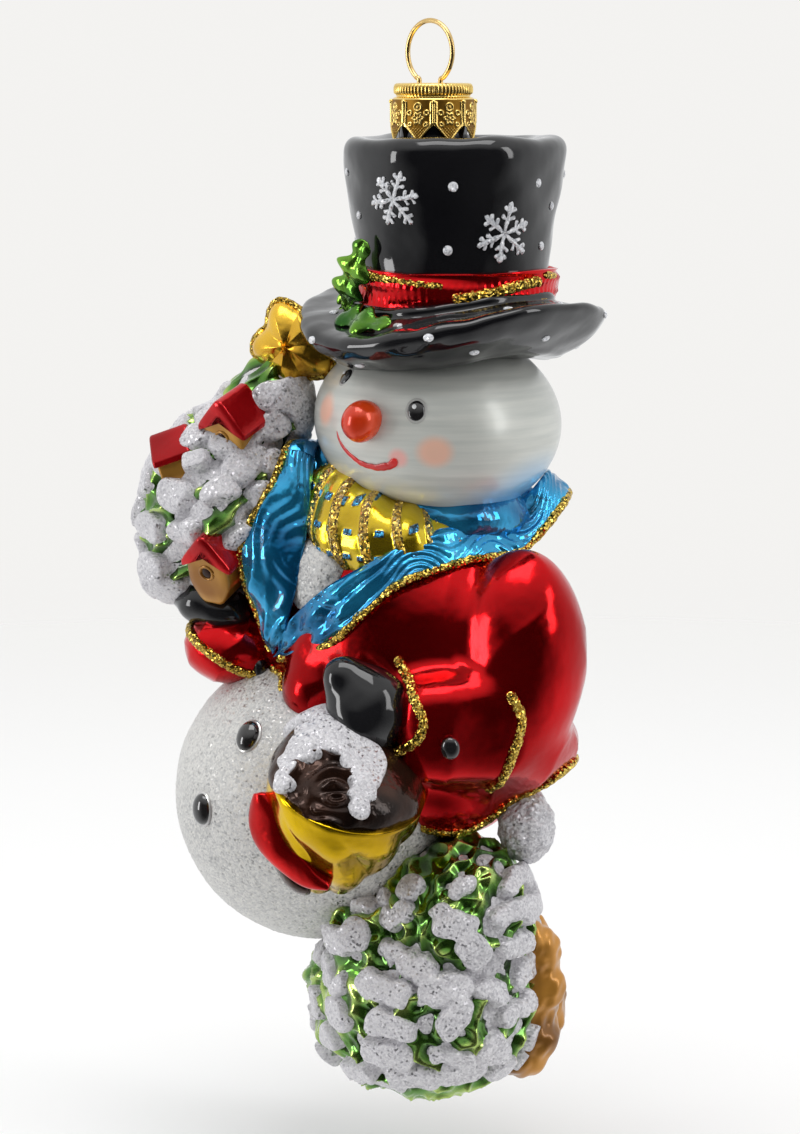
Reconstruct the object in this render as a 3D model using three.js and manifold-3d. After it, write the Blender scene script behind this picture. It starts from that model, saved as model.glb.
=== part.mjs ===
// Hanging glass snowman: one hollow mouth-blown figure, a crimped metal crown cap and a spring-wire ring.
// Millimetres, +Z up. The origin is the inside top of the ring, where a hook bears.
// The figure faces -Y and its own left side is +X.
import * as THREE from "three";
import { mergeVertices } from "three/addons/utils/BufferGeometryUtils.js";
import Module from "manifold-3d";

const wasm = await Module();
wasm.setup();

// ---- driving dimensions ----

// spring-wire ring
const WIRE_RADIUS = 0.43;
const RING_RADIUS = 5.2;
const LEG_HALF_SPREAD = 2.5;
const LEG_END = [3.3, -18.5];

// crown cap, a little off the ring's middle
const CAP_AXIS = [0.4, 0.4];
const CAP_TOP = -9.8;
const CAP_TIP = -19.8;
const CAP_RADIUS = 7.0;
const CAP_WALL = 0.4;
const CAP_HEAD_RADIUS = 6.5;
const CAP_SHOULDER = -12.4;
const PETALS = 8;
const NOTCH_DEPTH = 3.0;
const SLOT = [7.4, 2.2];

// glass neck, inside the cap
const NECK_TOP = -10.7;
const NECK_FOOT = -24;
const NECK_RADIUS = 5.7;
const NECK_BORE = 4.6;

// top hat
const HAT_AXIS = [2.6, 3.4];
const CROWN_TOP = -18.7;
const CROWN_DIMPLE = 2.2;
const CROWN_TOP_RADIUS = 18.9;
const CROWN_FOOT = -46;
const CROWN_FOOT_RADIUS = 15.6;
const BRIM_CENTRE = [2.6, 2.6, -49.6];
const BRIM_RADIUS = 26;
const BRIM_HALF_THICKNESS = 2.9;
const BRIM_CURL = 3.2;

// snowman's own masses: centre, half sizes, tilt in degrees about X, Y and Z
const HEAD = { at: [1, 1, -66.6], size: [21, 21, 16.2], tilt: [0, 6, 0] };
const NOSE = { at: [4.7, -20.6, -64.5], size: [2.9, 4.2, 3.2], tilt: [8, 0, 12] };
const TORSO = { at: [-3.5, -2.5, -103], size: [25, 22, 24], tilt: [0, 10, 0] };
const BELLY = { at: [-15, -11, -131.5], size: [25.5, 25.5, 25.5], tilt: [0, 0, 0] };
const BUTTONS = [
  { at: [-10.7, -32.3, -117.9], size: [2.3, 1.6, 3.1], tilt: [-25, 0, 4] },
  { at: [-17.7, -36.6, -130.9], size: [2.3, 1.6, 3.1], tilt: [0, 0, -6] },
];

// clothes and arms
const SCARF = { at: [-2, -3.5, -83], size: [18.6, 16.8, 8], tilt: [14, 8, 0] };
const COLLAR = [
  { at: [13.5, 4, -82], size: [9.5, 15, 5.5], tilt: [24, 24, 0] },
  { at: [5, -17.5, -93], size: [15, 5, 5.5], tilt: [0, -34, 26] },
  { at: [-12.5, -21, -88.5], size: [6, 5.6, 17], tilt: [0, 6, 15] },
];
const LEFT_ARM = { at: [22.5, -0.5, -104], size: [10, 11, 18], tilt: [0, 0, 0] };
const LEFT_CUFF = { at: [17.5, -11, -114.5], size: [9.2, 12.8, 10.2], tilt: [0, 6, -25] };
const LEFT_MITTEN = { at: [10.5, -25, -111.7], size: [6.5, 7, 7.6], tilt: [0, 0, -20] };
const LEFT_THUMB = { at: [7.5, -28, -106], size: [3, 3.4, 3.4], tilt: [0, 0, 0] };
const RIGHT_SHOULDER = { at: [-20, -10.5, -91], size: [12.5, 10, 11.5], tilt: [0, 0, 0] };
const RIGHT_ARM = { at: [-20, -11, -104], size: [10, 12, 11], tilt: [0, 0, 30] };
const RIGHT_CUFF = { at: [-25.2, -22.2, -105.8], size: [8.6, 8, 6.6], tilt: [0, 0, 40] };
const RIGHT_MITTEN = { at: [-29, -24, -99.5], size: [8.5, 6.5, 4.5], tilt: [0, 15, 0] };
const COAT_TAIL = { at: [11.5, 1, -122.5], size: [15.5, 16, 10.5], tilt: [0, -8, 0] };

// pail under the left mitten: mouth centre, leaning axis towards the mouth, radii and length
const PAIL = { mouth: [10.5, -29.8, -123.4], axis: [0.435, -0.114, 0.893], rim: 13.4, foot: 5.5, length: 19 };
const PAIL_FILL = { at: [10.2, -29.7, -122.6], size: [12.8, 12.8, 6.5], tilt: [7, 26, 0] };
const PAIL_SNOW = { at: [8, -31, -117.3], size: [7.6, 7.6, 5.2], tilt: [4, 25, 0] };
const RIBBON = { at: [3.8, -37.6, -132.4], size: [4, 2.9, 9.6], tilt: [16, -32, 0] };

// decorated tree held in the right arm
const UPPER_TREE = [
  { at: [-30, -20, -81], size: [14.5, 13, 16.5], tilt: [0, 22, 0] },
  { at: [-24, -15.5, -65.5], size: [8, 7, 9.5], tilt: [0, 22, 0] },
];
const TREE_BUMPS = [
  { at: [-41, -23, -86], size: [5, 6, 5], tilt: [0, 0, 0] },
  { at: [-35, -27, -93], size: [6, 5, 5], tilt: [0, 0, 0] },
  { at: [-22, -28, -82], size: [5.8, 5.8, 6], tilt: [0, 0, 0] },
  { at: [-37, -12, -76], size: [6, 8, 8], tilt: [0, 0, 0] },
];
const STAR = { at: [-18.2, -12.8, -54], outer: 7.4, inner: 4.6, thickness: 5, turn: 22, lean: -24 };
const BIRDHOUSES = [
  { at: [-22, -24.8, -66.2], turn: 12, lean: 8 },
  { at: [-31.6, -28.8, -72.4], turn: -56, lean: -4 },
  { at: [-22.4, -30.2, -89.2], turn: 16, lean: 6 },
];
const BIRDHOUSE = { width: 7.4, depth: 7.2, wall: 6.4, roof: 4.6, eaves: 0.9 };

// snowy pine under the coat, with a forest animal against its side
const PINE = [
  { at: [7, -7, -164.3], size: [20, 18, 17.7], tilt: [0, 0, 0] },
  { at: [13, -6.5, -149], size: [14, 13, 15.5], tilt: [0, 0, 0] },
];
const PINE_BUMPS = [
  { at: [-7, -14, -163], size: [7, 6, 6], tilt: [0, 0, 0] },
  { at: [-4, -13, -172], size: [7, 7, 6], tilt: [0, 0, 0] },
  { at: [6, -15, -174.5], size: [8, 6, 5], tilt: [0, 0, 0] },
  { at: [3, -20, -152], size: [6, 5, 6], tilt: [0, 0, 0] },
  { at: [-6, 2, -160], size: [6, 8, 8], tilt: [0, 0, 0] },
];
const SNOWBALL = { at: [20.2, 3, -134.2], size: [4.8, 4.8, 6.2], tilt: [0, 0, 0] };
const ANIMAL = [
  { at: [21, 2.8, -164.5], size: [5, 6, 10.2], tilt: [0, 0, 0] },
  { at: [22.6, 3.2, -155.2], size: [4.2, 4.2, 4.4], tilt: [0, 0, 0] },
  { at: [21, 2.4, -173.5], size: [4.8, 4.8, 4.4], tilt: [0, 0, 0] },
];

// wall of the blown glass, whose hollow follows the larger masses
const GLASS_WALL = 1.1;

// facets
const RING_STEPS = 28;
const TURN_STEPS = 20;
const NECK_STEPS = 14;
const BRIM_STEPS = 20;
const LARGE_LOBE = 14;
const SMALL_LOBE = 8;
const HOLLOW_LOBE = 10;

// ---- solids ----

// One closed mesh of shared points. Shapes are welded where they are made, before they are turned or moved.
function weld(geometry) {
  for (const name of Object.keys(geometry.attributes)) {
    if (name !== "position") geometry.deleteAttribute(name);
  }
  return mergeVertices(geometry, 1e-4);
}

function toSolid(welded) {
  return new wasm.Manifold(
    new wasm.Mesh({
      numProp: 3,
      vertProperties: new Float32Array(welded.attributes.position.array),
      triVerts: new Uint32Array(welded.index.array),
    }),
  );
}

function toGeometry(solid) {
  const mesh = solid.getMesh();
  const geometry = new THREE.BufferGeometry();
  geometry.setAttribute("position", new THREE.BufferAttribute(mesh.vertProperties, 3));
  geometry.setIndex(new THREE.BufferAttribute(mesh.triVerts, 1));
  geometry.computeVertexNormals();
  return geometry;
}

function join(solids) {
  return solids.reduce((sum, solid) => sum.add(solid));
}

// A matrix that tilts by the three angles, about X first, and then moves to the place.
function placed(at, tilt) {
  const [x, y, z] = tilt.map(THREE.MathUtils.degToRad);
  const matrix = new THREE.Matrix4().makeRotationFromEuler(new THREE.Euler(x, y, z, "ZYX"));
  return matrix.setPosition(...at);
}

// An ellipsoid with its poles along Z.
function ellipsoid({ at, size, tilt }, columns) {
  const geometry = weld(new THREE.SphereGeometry(1, columns, Math.round(columns * 0.6)));
  geometry.rotateX(Math.PI / 2);
  geometry.scale(...size);
  geometry.applyMatrix4(placed(at, tilt));
  return toSolid(geometry);
}

// A mass of the figure, cut finer when it is larger.
function lobe(mass) {
  return ellipsoid(mass, Math.max(...mass.size) > 12 ? LARGE_LOBE : SMALL_LOBE);
}

// The hollow inside a mass, one wall smaller all round.
function chamber({ at, size, tilt }) {
  return ellipsoid({ at, size: size.map((half) => half - GLASS_WALL), tilt }, HOLLOW_LOBE);
}

// A body of revolution about Z from [radius, z] points that run upwards along its outside.
function turned(profile, steps = TURN_STEPS) {
  const geometry = new THREE.LatheGeometry(profile.map(([r, z]) => new THREE.Vector2(r, z)), steps);
  return weld(geometry).rotateX(Math.PI / 2);
}

// A prism of an [x, z] outline, as deep as depth along Y, centred on Y = 0.
function slab(outline, depth) {
  const shape = new THREE.Shape(outline.map(([x, z]) => new THREE.Vector2(x, z)));
  const geometry = new THREE.ExtrudeGeometry(shape, { depth, bevelEnabled: false, steps: 1 });
  return weld(geometry).translate(0, 0, -depth / 2).rotateX(Math.PI / 2);
}

// ---- ring ----

// One wire: a round loop whose two ends turn down through the cap's slot as spring legs.
function ringSolid() {
  const centre = WIRE_RADIUS - RING_RADIUS;
  const gap = Math.asin(LEG_HALF_SPREAD / RING_RADIUS);
  const loop = [];
  const stations = 18;
  for (let i = 0; i <= stations; i += 1) {
    const angle = -Math.PI / 2 - gap - (i / stations) * 2 * (Math.PI - gap);
    loop.push([RING_RADIUS * Math.cos(angle), centre + RING_RADIUS * Math.sin(angle)]);
  }
  const left = [LEG_END, [2.95, -14.5], [2.6, -11.2]].map(([x, z]) => [-x, z]);
  const right = [[2.6, -11.2], [2.95, -14.5], LEG_END];
  const route = [...left, ...loop, ...right];
  const path = new THREE.CatmullRomCurve3(
    route.map(([x, z]) => new THREE.Vector3(x, 0, z)),
    false,
    "centripetal",
  );
  const section = new THREE.Shape();
  section.absarc(0, 0, WIRE_RADIUS, 0, 2 * Math.PI, false);
  const wire = new THREE.ExtrudeGeometry(section, { steps: RING_STEPS, curveSegments: 4, extrudePath: path });
  return toSolid(weld(wire));
}

// ---- cap ----

// A thin crown: a flat top with a slot, a rolled shoulder and a skirt that ends in pointed petals.
function capSolid() {
  const inner = CAP_RADIUS - CAP_WALL;
  const head = CAP_HEAD_RADIUS - CAP_WALL;
  const outside = turned([
    [0, CAP_TIP],
    [CAP_RADIUS - 0.2, CAP_TIP],
    [CAP_RADIUS, CAP_TIP + 3],
    [CAP_RADIUS, CAP_SHOULDER],
    [CAP_HEAD_RADIUS, CAP_TOP - 1.9],
    [CAP_HEAD_RADIUS, CAP_TOP - 0.6],
    [CAP_HEAD_RADIUS - 0.5, CAP_TOP],
    [0, CAP_TOP],
  ]);
  const inside = turned([
    [0, CAP_TIP - 1],
    [inner - 0.2, CAP_TIP - 1],
    [inner, CAP_TIP + 3],
    [inner, CAP_SHOULDER - 0.3],
    [head, CAP_TOP - 2.1],
    [head, CAP_TOP - 0.9],
    [head - 0.4, CAP_TOP - CAP_WALL],
    [0, CAP_TOP - CAP_WALL],
  ]);
  const onAxis = (shape) => toSolid(shape.translate(...CAP_AXIS, 0));
  let cap = onAxis(outside).subtract(onAxis(inside));
  const slotBox = new THREE.BoxGeometry(SLOT[0], SLOT[1], 4);
  cap = cap.subtract(onAxis(weld(slotBox).translate(0, 0, CAP_TOP)));
  const half = CAP_RADIUS * Math.tan(Math.PI / PETALS);
  for (let i = 0; i < PETALS; i += 1) {
    const notch = slab([[-half, CAP_TIP - 1], [half, CAP_TIP - 1], [0, CAP_TIP + NOTCH_DEPTH]], 6);
    notch.translate(0, -CAP_RADIUS, 0);
    notch.rotateZ((i * 2 * Math.PI) / PETALS + Math.PI / 4);
    cap = cap.subtract(onAxis(notch));
  }
  return cap;
}

// ---- glass figure ----

// A plain cylinder on the cap's axis, for the neck and for its bore.
function neckSolid(radius, foot, top) {
  const neck = turned([[0, foot], [radius, foot], [radius, top], [0, top]], NECK_STEPS);
  return toSolid(neck.translate(...CAP_AXIS, 0));
}

// The crown of the hat flares towards its top; inset gives the hollow inside it.
function crownSolid(inset = 0) {
  const foot = BRIM_CENTRE[2] - 4;
  const crown = turned([
    [0, foot],
    [CROWN_FOOT_RADIUS - inset, foot],
    [CROWN_FOOT_RADIUS + 0.7 - inset, CROWN_FOOT + 4.5],
    [CROWN_FOOT_RADIUS + 0.1 - inset, CROWN_FOOT + 5],
    [16.6 - inset, -34],
    [18.2 - inset, -26],
    [CROWN_TOP_RADIUS - inset, CROWN_TOP - 2.4 - inset],
    [CROWN_TOP_RADIUS - 2.6 - inset, CROWN_TOP - inset],
    [9, CROWN_TOP - CROWN_DIMPLE - inset],
    [0, CROWN_TOP - CROWN_DIMPLE - inset],
  ]);
  return toSolid(crown.translate(HAT_AXIS[0], HAT_AXIS[1], 0));
}

// The brim is a thick round disc whose sides curl up and whose front and back dip.
function brimSolid() {
  const t = BRIM_HALF_THICKNESS;
  const brim = turned(
    [
      [0, -t],
      [BRIM_RADIUS - 5, -t],
      [BRIM_RADIUS - 1, -0.7 * t],
      [BRIM_RADIUS, 0],
      [BRIM_RADIUS - 1, 0.7 * t],
      [BRIM_RADIUS - 5, t],
      [0, t],
    ],
    BRIM_STEPS,
  );
  const place = brim.attributes.position;
  for (let i = 0; i < place.count; i += 1) {
    const x = place.getX(i) / BRIM_RADIUS;
    const y = place.getY(i) / BRIM_RADIUS;
    place.setZ(i, place.getZ(i) + BRIM_CURL * (x * x - y * y));
  }
  return toSolid(brim.translate(...BRIM_CENTRE));
}

function pailSolid() {
  const axis = new THREE.Vector3(...PAIL.axis).normalize();
  const pail = turned([[0, -PAIL.length], [PAIL.foot, -PAIL.length], [PAIL.rim, 0], [0, 0]]);
  const turn = new THREE.Quaternion().setFromUnitVectors(new THREE.Vector3(0, 0, 1), axis);
  pail.applyQuaternion(turn).translate(...PAIL.mouth);
  return toSolid(pail);
}

function starSolid() {
  const outline = [];
  for (let i = 0; i < 10; i += 1) {
    const radius = i % 2 ? STAR.inner : STAR.outer;
    const angle = Math.PI / 2 + (i * Math.PI) / 5;
    outline.push([radius * Math.cos(angle), radius * Math.sin(angle)]);
  }
  const star = slab(outline, STAR.thickness);
  star.applyMatrix4(placed(STAR.at, [0, STAR.lean, STAR.turn]));
  return toSolid(star);
}

// A little house: a gabled prism, with its ridge running front to back and its eaves standing proud.
function birdhouseSolid({ at, turn, lean }) {
  const { width, depth, wall, roof, eaves } = BIRDHOUSE;
  const half = width / 2;
  const place = placed(at, [0, lean, turn]);
  const body = slab([[-half, -wall], [half, -wall], [half, 0], [0, roof], [-half, 0]], depth);
  const span = half + eaves;
  const cover = slab([[-span, -1.2], [span, -1.2], [span, 0.4], [0, roof + 1.1], [-span, 0.4]], depth + 2 * eaves);
  return toSolid(body.applyMatrix4(place)).add(toSolid(cover.applyMatrix4(place)));
}

function figureSolid() {
  const outside = join([
    neckSolid(NECK_RADIUS, NECK_FOOT, NECK_TOP),
    crownSolid(),
    brimSolid(),
    lobe(HEAD),
    lobe(NOSE),
    lobe(SCARF),
    ...COLLAR.map(lobe),
    lobe(TORSO),
    lobe(LEFT_ARM),
    lobe(LEFT_CUFF),
    lobe(LEFT_MITTEN),
    lobe(LEFT_THUMB),
    lobe(RIGHT_SHOULDER),
    lobe(RIGHT_ARM),
    lobe(RIGHT_CUFF),
    lobe(RIGHT_MITTEN),
    lobe(COAT_TAIL),
    lobe(BELLY),
    ...BUTTONS.map(lobe),
    pailSolid(),
    lobe(PAIL_FILL),
    lobe(PAIL_SNOW),
    lobe(RIBBON),
    ...UPPER_TREE.map(lobe),
    ...TREE_BUMPS.map(lobe),
    starSolid(),
    ...BIRDHOUSES.map(birdhouseSolid),
    ...PINE.map(lobe),
    ...PINE_BUMPS.map(lobe),
    lobe(SNOWBALL),
    ...ANIMAL.map(lobe),
  ]);
  const bore = neckSolid(NECK_BORE, NECK_FOOT - 2, NECK_TOP + 1);
  const arms = [LEFT_ARM, LEFT_CUFF, RIGHT_SHOULDER, RIGHT_ARM];
  const masses = [HEAD, TORSO, BELLY, ...arms, COAT_TAIL, ...UPPER_TREE, ...PINE];
  return outside.subtract(join([bore, crownSolid(GLASS_WALL), ...masses.map(chamber)]));
}

// ---- scene graph ----

const SILVERED_GLASS = new THREE.MeshStandardMaterial({ color: 0xb3262c, roughness: 0.12, metalness: 0.6 });
const GILT_TIN = new THREE.MeshStandardMaterial({ color: 0xc79a3a, roughness: 0.35, metalness: 1 });
const BRASS_WIRE = new THREE.MeshStandardMaterial({ color: 0xd0a552, roughness: 0.25, metalness: 1 });

const snowman = new THREE.Group();
const pieces = [
  ["glass_figure", figureSolid(), SILVERED_GLASS],
  ["cap", capSolid(), GILT_TIN],
  ["ring", ringSolid(), BRASS_WIRE],
];
for (const [name, solid, material] of pieces) {
  const mesh = new THREE.Mesh(toGeometry(solid), material);
  mesh.name = name;
  snowman.add(mesh);
}

export default snowman;
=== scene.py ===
"""Hanging glass snowman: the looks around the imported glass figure, its cap and its ring.

Shapes are worked out in millimetres and stored in metres. +Z is up, the figure faces -Y and its own
left side is +X. The origin is the inside top of the ring. A mass is (centre, half sizes, tilt in degrees).
"""

import bpy
import numpy as np
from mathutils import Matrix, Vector


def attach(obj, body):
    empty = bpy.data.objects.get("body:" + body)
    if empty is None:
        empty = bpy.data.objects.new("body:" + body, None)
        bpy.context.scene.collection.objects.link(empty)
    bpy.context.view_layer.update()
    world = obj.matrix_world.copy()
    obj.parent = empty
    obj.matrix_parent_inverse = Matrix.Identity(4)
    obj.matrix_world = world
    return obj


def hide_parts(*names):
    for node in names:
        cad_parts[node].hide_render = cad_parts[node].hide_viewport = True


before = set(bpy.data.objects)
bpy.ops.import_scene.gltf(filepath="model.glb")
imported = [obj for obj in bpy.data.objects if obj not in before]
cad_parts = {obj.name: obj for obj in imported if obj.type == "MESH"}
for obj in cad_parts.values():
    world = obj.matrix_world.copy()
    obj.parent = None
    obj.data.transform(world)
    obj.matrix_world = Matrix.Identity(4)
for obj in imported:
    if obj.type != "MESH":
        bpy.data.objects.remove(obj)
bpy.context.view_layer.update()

# ---- camera, floor and light ----
# The ornament hangs clear of a pale sweep of floor. The room is bright above and round the sides, and
# darker where the viewer stands, which gives the lacquers their deep middles.

bpy.context.scene.view_settings.view_transform = "Standard"

camera = bpy.data.objects.new("camera", bpy.data.cameras.new("camera"))
bpy.context.collection.objects.link(camera)
camera.data.lens = 102.1
camera.data.clip_end = 50
camera.location = (0.38034, -0.38740, -0.00568)
camera_target = Vector((-0.003786, -0.003275, -0.09172))
camera.rotation_euler = (camera_target - camera.location).to_track_quat("-Z", "Y").to_euler()
bpy.context.scene.camera = camera


def node(tree, kind, feeds=None, **settings):
    """One shader node: settings are its own properties, feeds its inputs as values or other outputs."""
    made = tree.nodes.new("ShaderNode" + kind)
    for name, value in settings.items():
        setattr(made, name, value)
    for name, value in (feeds or {}).items():
        if isinstance(value, bpy.types.NodeSocket):
            tree.links.new(value, made.inputs[name])
        else:
            made.inputs[name].default_value = value
    return made


def finish(name, **sockets):
    """A material with one Principled shader, whose sockets are set directly to plain values."""
    material = bpy.data.materials.new(name)
    material.use_nodes = True
    shader = material.node_tree.nodes["Principled BSDF"]
    for socket, value in sockets.items():
        shader.inputs[socket.replace("_", " ")].default_value = value
    return material, material.node_tree, shader


def two_tone(tree, value, low, low_colour, high, high_colour):
    """A colour ramp that runs from one colour at low to another at high."""
    made = node(tree, "ValToRGB", {"Fac": value})
    for stop, place, colour in zip(made.color_ramp.elements, (low, high), (low_colour, high_colour)):
        stop.position, stop.color = place, colour
    return made


world = bpy.data.worlds.new("studio")
bpy.context.scene.world = world
world.use_nodes = True
sky = world.node_tree
heading = node(sky, "TexCoord").outputs["Generated"]
toward_viewer = node(sky, "VectorMath", {0: heading, 1: (0.70, -0.70, 0.02)}, operation="DOT_PRODUCT")
shade = two_tone(sky, toward_viewer.outputs["Value"], 0.05, (0.98, 0.99, 1.0, 1), 0.72,
                 (0.035, 0.035, 0.04, 1))
height = node(sky, "SeparateXYZ", {"Vector": heading})
overhead = two_tone(sky, height.outputs["Z"], 0.35, (0, 0, 0, 1), 0.75, (1, 1, 1, 1))
dome = node(sky, "Mix", {"Factor": overhead.outputs["Color"], 6: shade.outputs["Color"], 7: (1, 1, 1, 1)},
            data_type="RGBA")
seen = node(sky, "LightPath").outputs["Is Camera Ray"]
sight = node(sky, "Mix", {"Factor": seen, 6: dome.outputs[2], 7: (1.06, 1.05, 1.03, 1)}, data_type="RGBA")
sky.links.new(sight.outputs[2], sky.nodes["Background"].inputs["Color"])
sky.nodes["Background"].inputs["Strength"].default_value = 0.85


def softbox(name, place, aim, size, power):
    """A rectangular area light that faces the point aim, in metres and watts."""
    lamp = bpy.data.objects.new(name, bpy.data.lights.new(name, "AREA"))
    bpy.context.collection.objects.link(lamp)
    lamp.data.shape = "RECTANGLE"
    lamp.data.size, lamp.data.size_y = size
    lamp.data.energy = power
    lamp.location = place
    lamp.rotation_euler = (Vector(aim) - Vector(place)).to_track_quat("-Z", "Y").to_euler()


softbox("left_softbox", (-0.50, -0.98, 0.02), (0, 0, -0.08), (0.24, 0.6), 3.0)
softbox("right_softbox", (0.95, 0.30, 0.30), (0, 0, -0.09), (0.22, 0.7), 2.0)
softbox("top_softbox", (0.10, -0.15, 0.85), (0, 0, -0.09), (0.7, 0.5), 3.8)

FLOOR_HEIGHT = -0.196
FLOOR_RADIUS = 4.0
floor_turn = np.linspace(0, 2 * np.pi, 96, endpoint=False)
floor_rim = np.stack([np.cos(floor_turn), np.sin(floor_turn), np.zeros(96)], -1) * FLOOR_RADIUS
floor_mesh = bpy.data.meshes.new("floor")
floor_mesh.from_pydata((floor_rim + (0, 0, FLOOR_HEIGHT)).tolist(), [], [list(range(96))])
floor = bpy.data.objects.new("floor", floor_mesh)
bpy.context.collection.objects.link(floor)
floor_paint, tree, shader = finish("pale_floor", Base_Color=(0.93, 0.93, 0.925, 1), Roughness=0.6)
from_middle = node(tree, "VectorMath", {0: node(tree, "TexCoord").outputs["Object"]}, operation="LENGTH")
faded = node(tree, "MapRange", {"Value": from_middle.outputs["Value"], "From Min": 0.26, "From Max": 0.75,
                                "To Min": 1.0, "To Max": 0.0}, interpolation_type="SMOOTHSTEP")
tree.links.new(faded.outputs["Result"], shader.inputs["Alpha"])
floor.data.materials.append(floor_paint)
floor.visible_glossy = False

# ---- head ----
# A round blown bulb, pearl white, brushed on in level strokes, with a blue tint that fades in near the
# collar. Cheeks are airbrushed.

HEAD = [((1, 1, -66.6), (21, 21, 16.2), (0, 6, 0))]
# Each tinted spot: its place, how X, Y and Z are squeezed, where its fade starts and ends, its tint.
TINTED_SPOTS = [((20, 6, -82), (1, 1, 1.3), 5, 17, (0.18, 0.48, 0.80, 1)),
              ((15.1, -14.1, -69.4), (1, 1, 1.15), 1.6, 3.9, (0.93, 0.56, 0.42, 1)),
              ((-6.2, -18.5, -63.6), (1, 1, 1.0), 1.4, 3.6, (0.93, 0.56, 0.42, 1)),
              ((9.9, -17.4, -70.6), (1, 1, 1.0), 0.8, 2.2, (0.93, 0.50, 0.45, 1))]


def turned_by(tilt):
    """The rotation matrix of a tilt in degrees: about X first, then Y, then Z."""
    x, y, z = np.radians(tilt)
    about_x = np.array([[1, 0, 0], [0, np.cos(x), -np.sin(x)], [0, np.sin(x), np.cos(x)]])
    about_y = np.array([[np.cos(y), 0, np.sin(y)], [0, 1, 0], [-np.sin(y), 0, np.cos(y)]])
    about_z = np.array([[np.cos(z), -np.sin(z), 0], [np.sin(z), np.cos(z), 0], [0, 0, 1]])
    return about_z @ about_y @ about_x


def unit(vectors):
    """Each vector over its own length."""
    return vectors / np.maximum(np.linalg.norm(vectors, axis=-1, keepdims=True), 1e-9)


def clearance(points, masses, soft):
    """Height over the blended masses in mm: minus soft times the log of the sum of exp(-height / soft).

    The height over one mass is (k - 1) / g, where k is the p-norm of the point over the half sizes and g
    the length of its slope. The power p is 2 for a round mass, and more for a boxy one.
    """
    total = 0
    for centre, half, tilt, *power in masses:
        p = power[0] if power else 2
        local = np.abs((points - np.array(centre)) @ turned_by(tilt)) / np.array(half)
        reach = np.maximum((local**p).sum(-1), 1e-9) ** (1 / p)
        slope = np.linalg.norm(local ** (p - 1) / np.array(half), axis=-1) / reach ** (p - 1)
        total = total + np.exp(np.clip((1 - reach) / np.maximum(slope, 1e-6) / soft, -500, 500))
    return -soft * np.log(total)


def outward(points, masses, soft):
    """The unit slope of clearance, by central differences 0.02 mm apart."""
    steps = np.eye(3) * 0.01
    rise = [clearance(points + s, masses, soft) - clearance(points - s, masses, soft) for s in steps]
    return unit(np.stack(rise, -1))


def settle(points, masses, soft=1.0, proud=0.0):
    """Moves points along the slope until they lie that far proud of the blended masses."""
    points = np.array(points, float)
    for _ in range(8):
        points = points - outward(points, masses, soft) * (clearance(points, masses, soft) - proud)[..., None]
    return points


def skin(masses, foot, top, rows, columns, soft=1.0, far=60.0):
    """The outermost surface of blended masses, as a grid of points and of outward normals.

    Row v and column u look from a point between foot and top along the direction of polar angle pi v
    and bearing 2 pi u, and walk in from far by the clearance until they touch.
    """
    v = np.linspace(0, 1, rows)[:, None, None]
    u = np.arange(columns)[None, :, None] / columns
    phi, theta = np.pi * v, 2 * np.pi * u
    level = [np.sin(phi) * np.cos(theta), np.sin(phi) * np.sin(theta)]
    look = np.concatenate([*level, -np.cos(phi) + 0 * u], -1)
    foot, top = np.array(foot, float), np.array(top, float)
    start = foot + (top - foot) * (v * v * (3 - 2 * v))
    walked = np.full(look.shape[:2], far)
    for _ in range(40):
        gap = clearance(start + look * walked[..., None], masses, soft)
        walked = np.maximum(walked - 0.85 * gap, 0.0)
    points = start + look * walked[..., None]
    return points, outward(points, masses, soft)


def waves(points, length, seed, layers=7):
    """About -1 to 1: the sum of sines of about that length that run in random directions."""
    draw = np.random.default_rng(seed)
    run = unit(draw.normal(size=(layers, 3))) / (length * draw.uniform(0.75, 1.35, (layers, 1)))
    return np.sin(2 * np.pi * points @ run.T + draw.uniform(0, 2 * np.pi, layers)).sum(-1) / layers**0.5 / 1.1


def ramp(value, low, high):
    """0 below low, 1 above high, and an S-curve between them."""
    t = np.clip((value - low) / (high - low), 0, 1)
    return t * t * (3 - 2 * t)


def raised(points, normals, relief):
    """Points moved out along their normals by the relief in mm."""
    return points + normals * relief[..., None]


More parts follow.
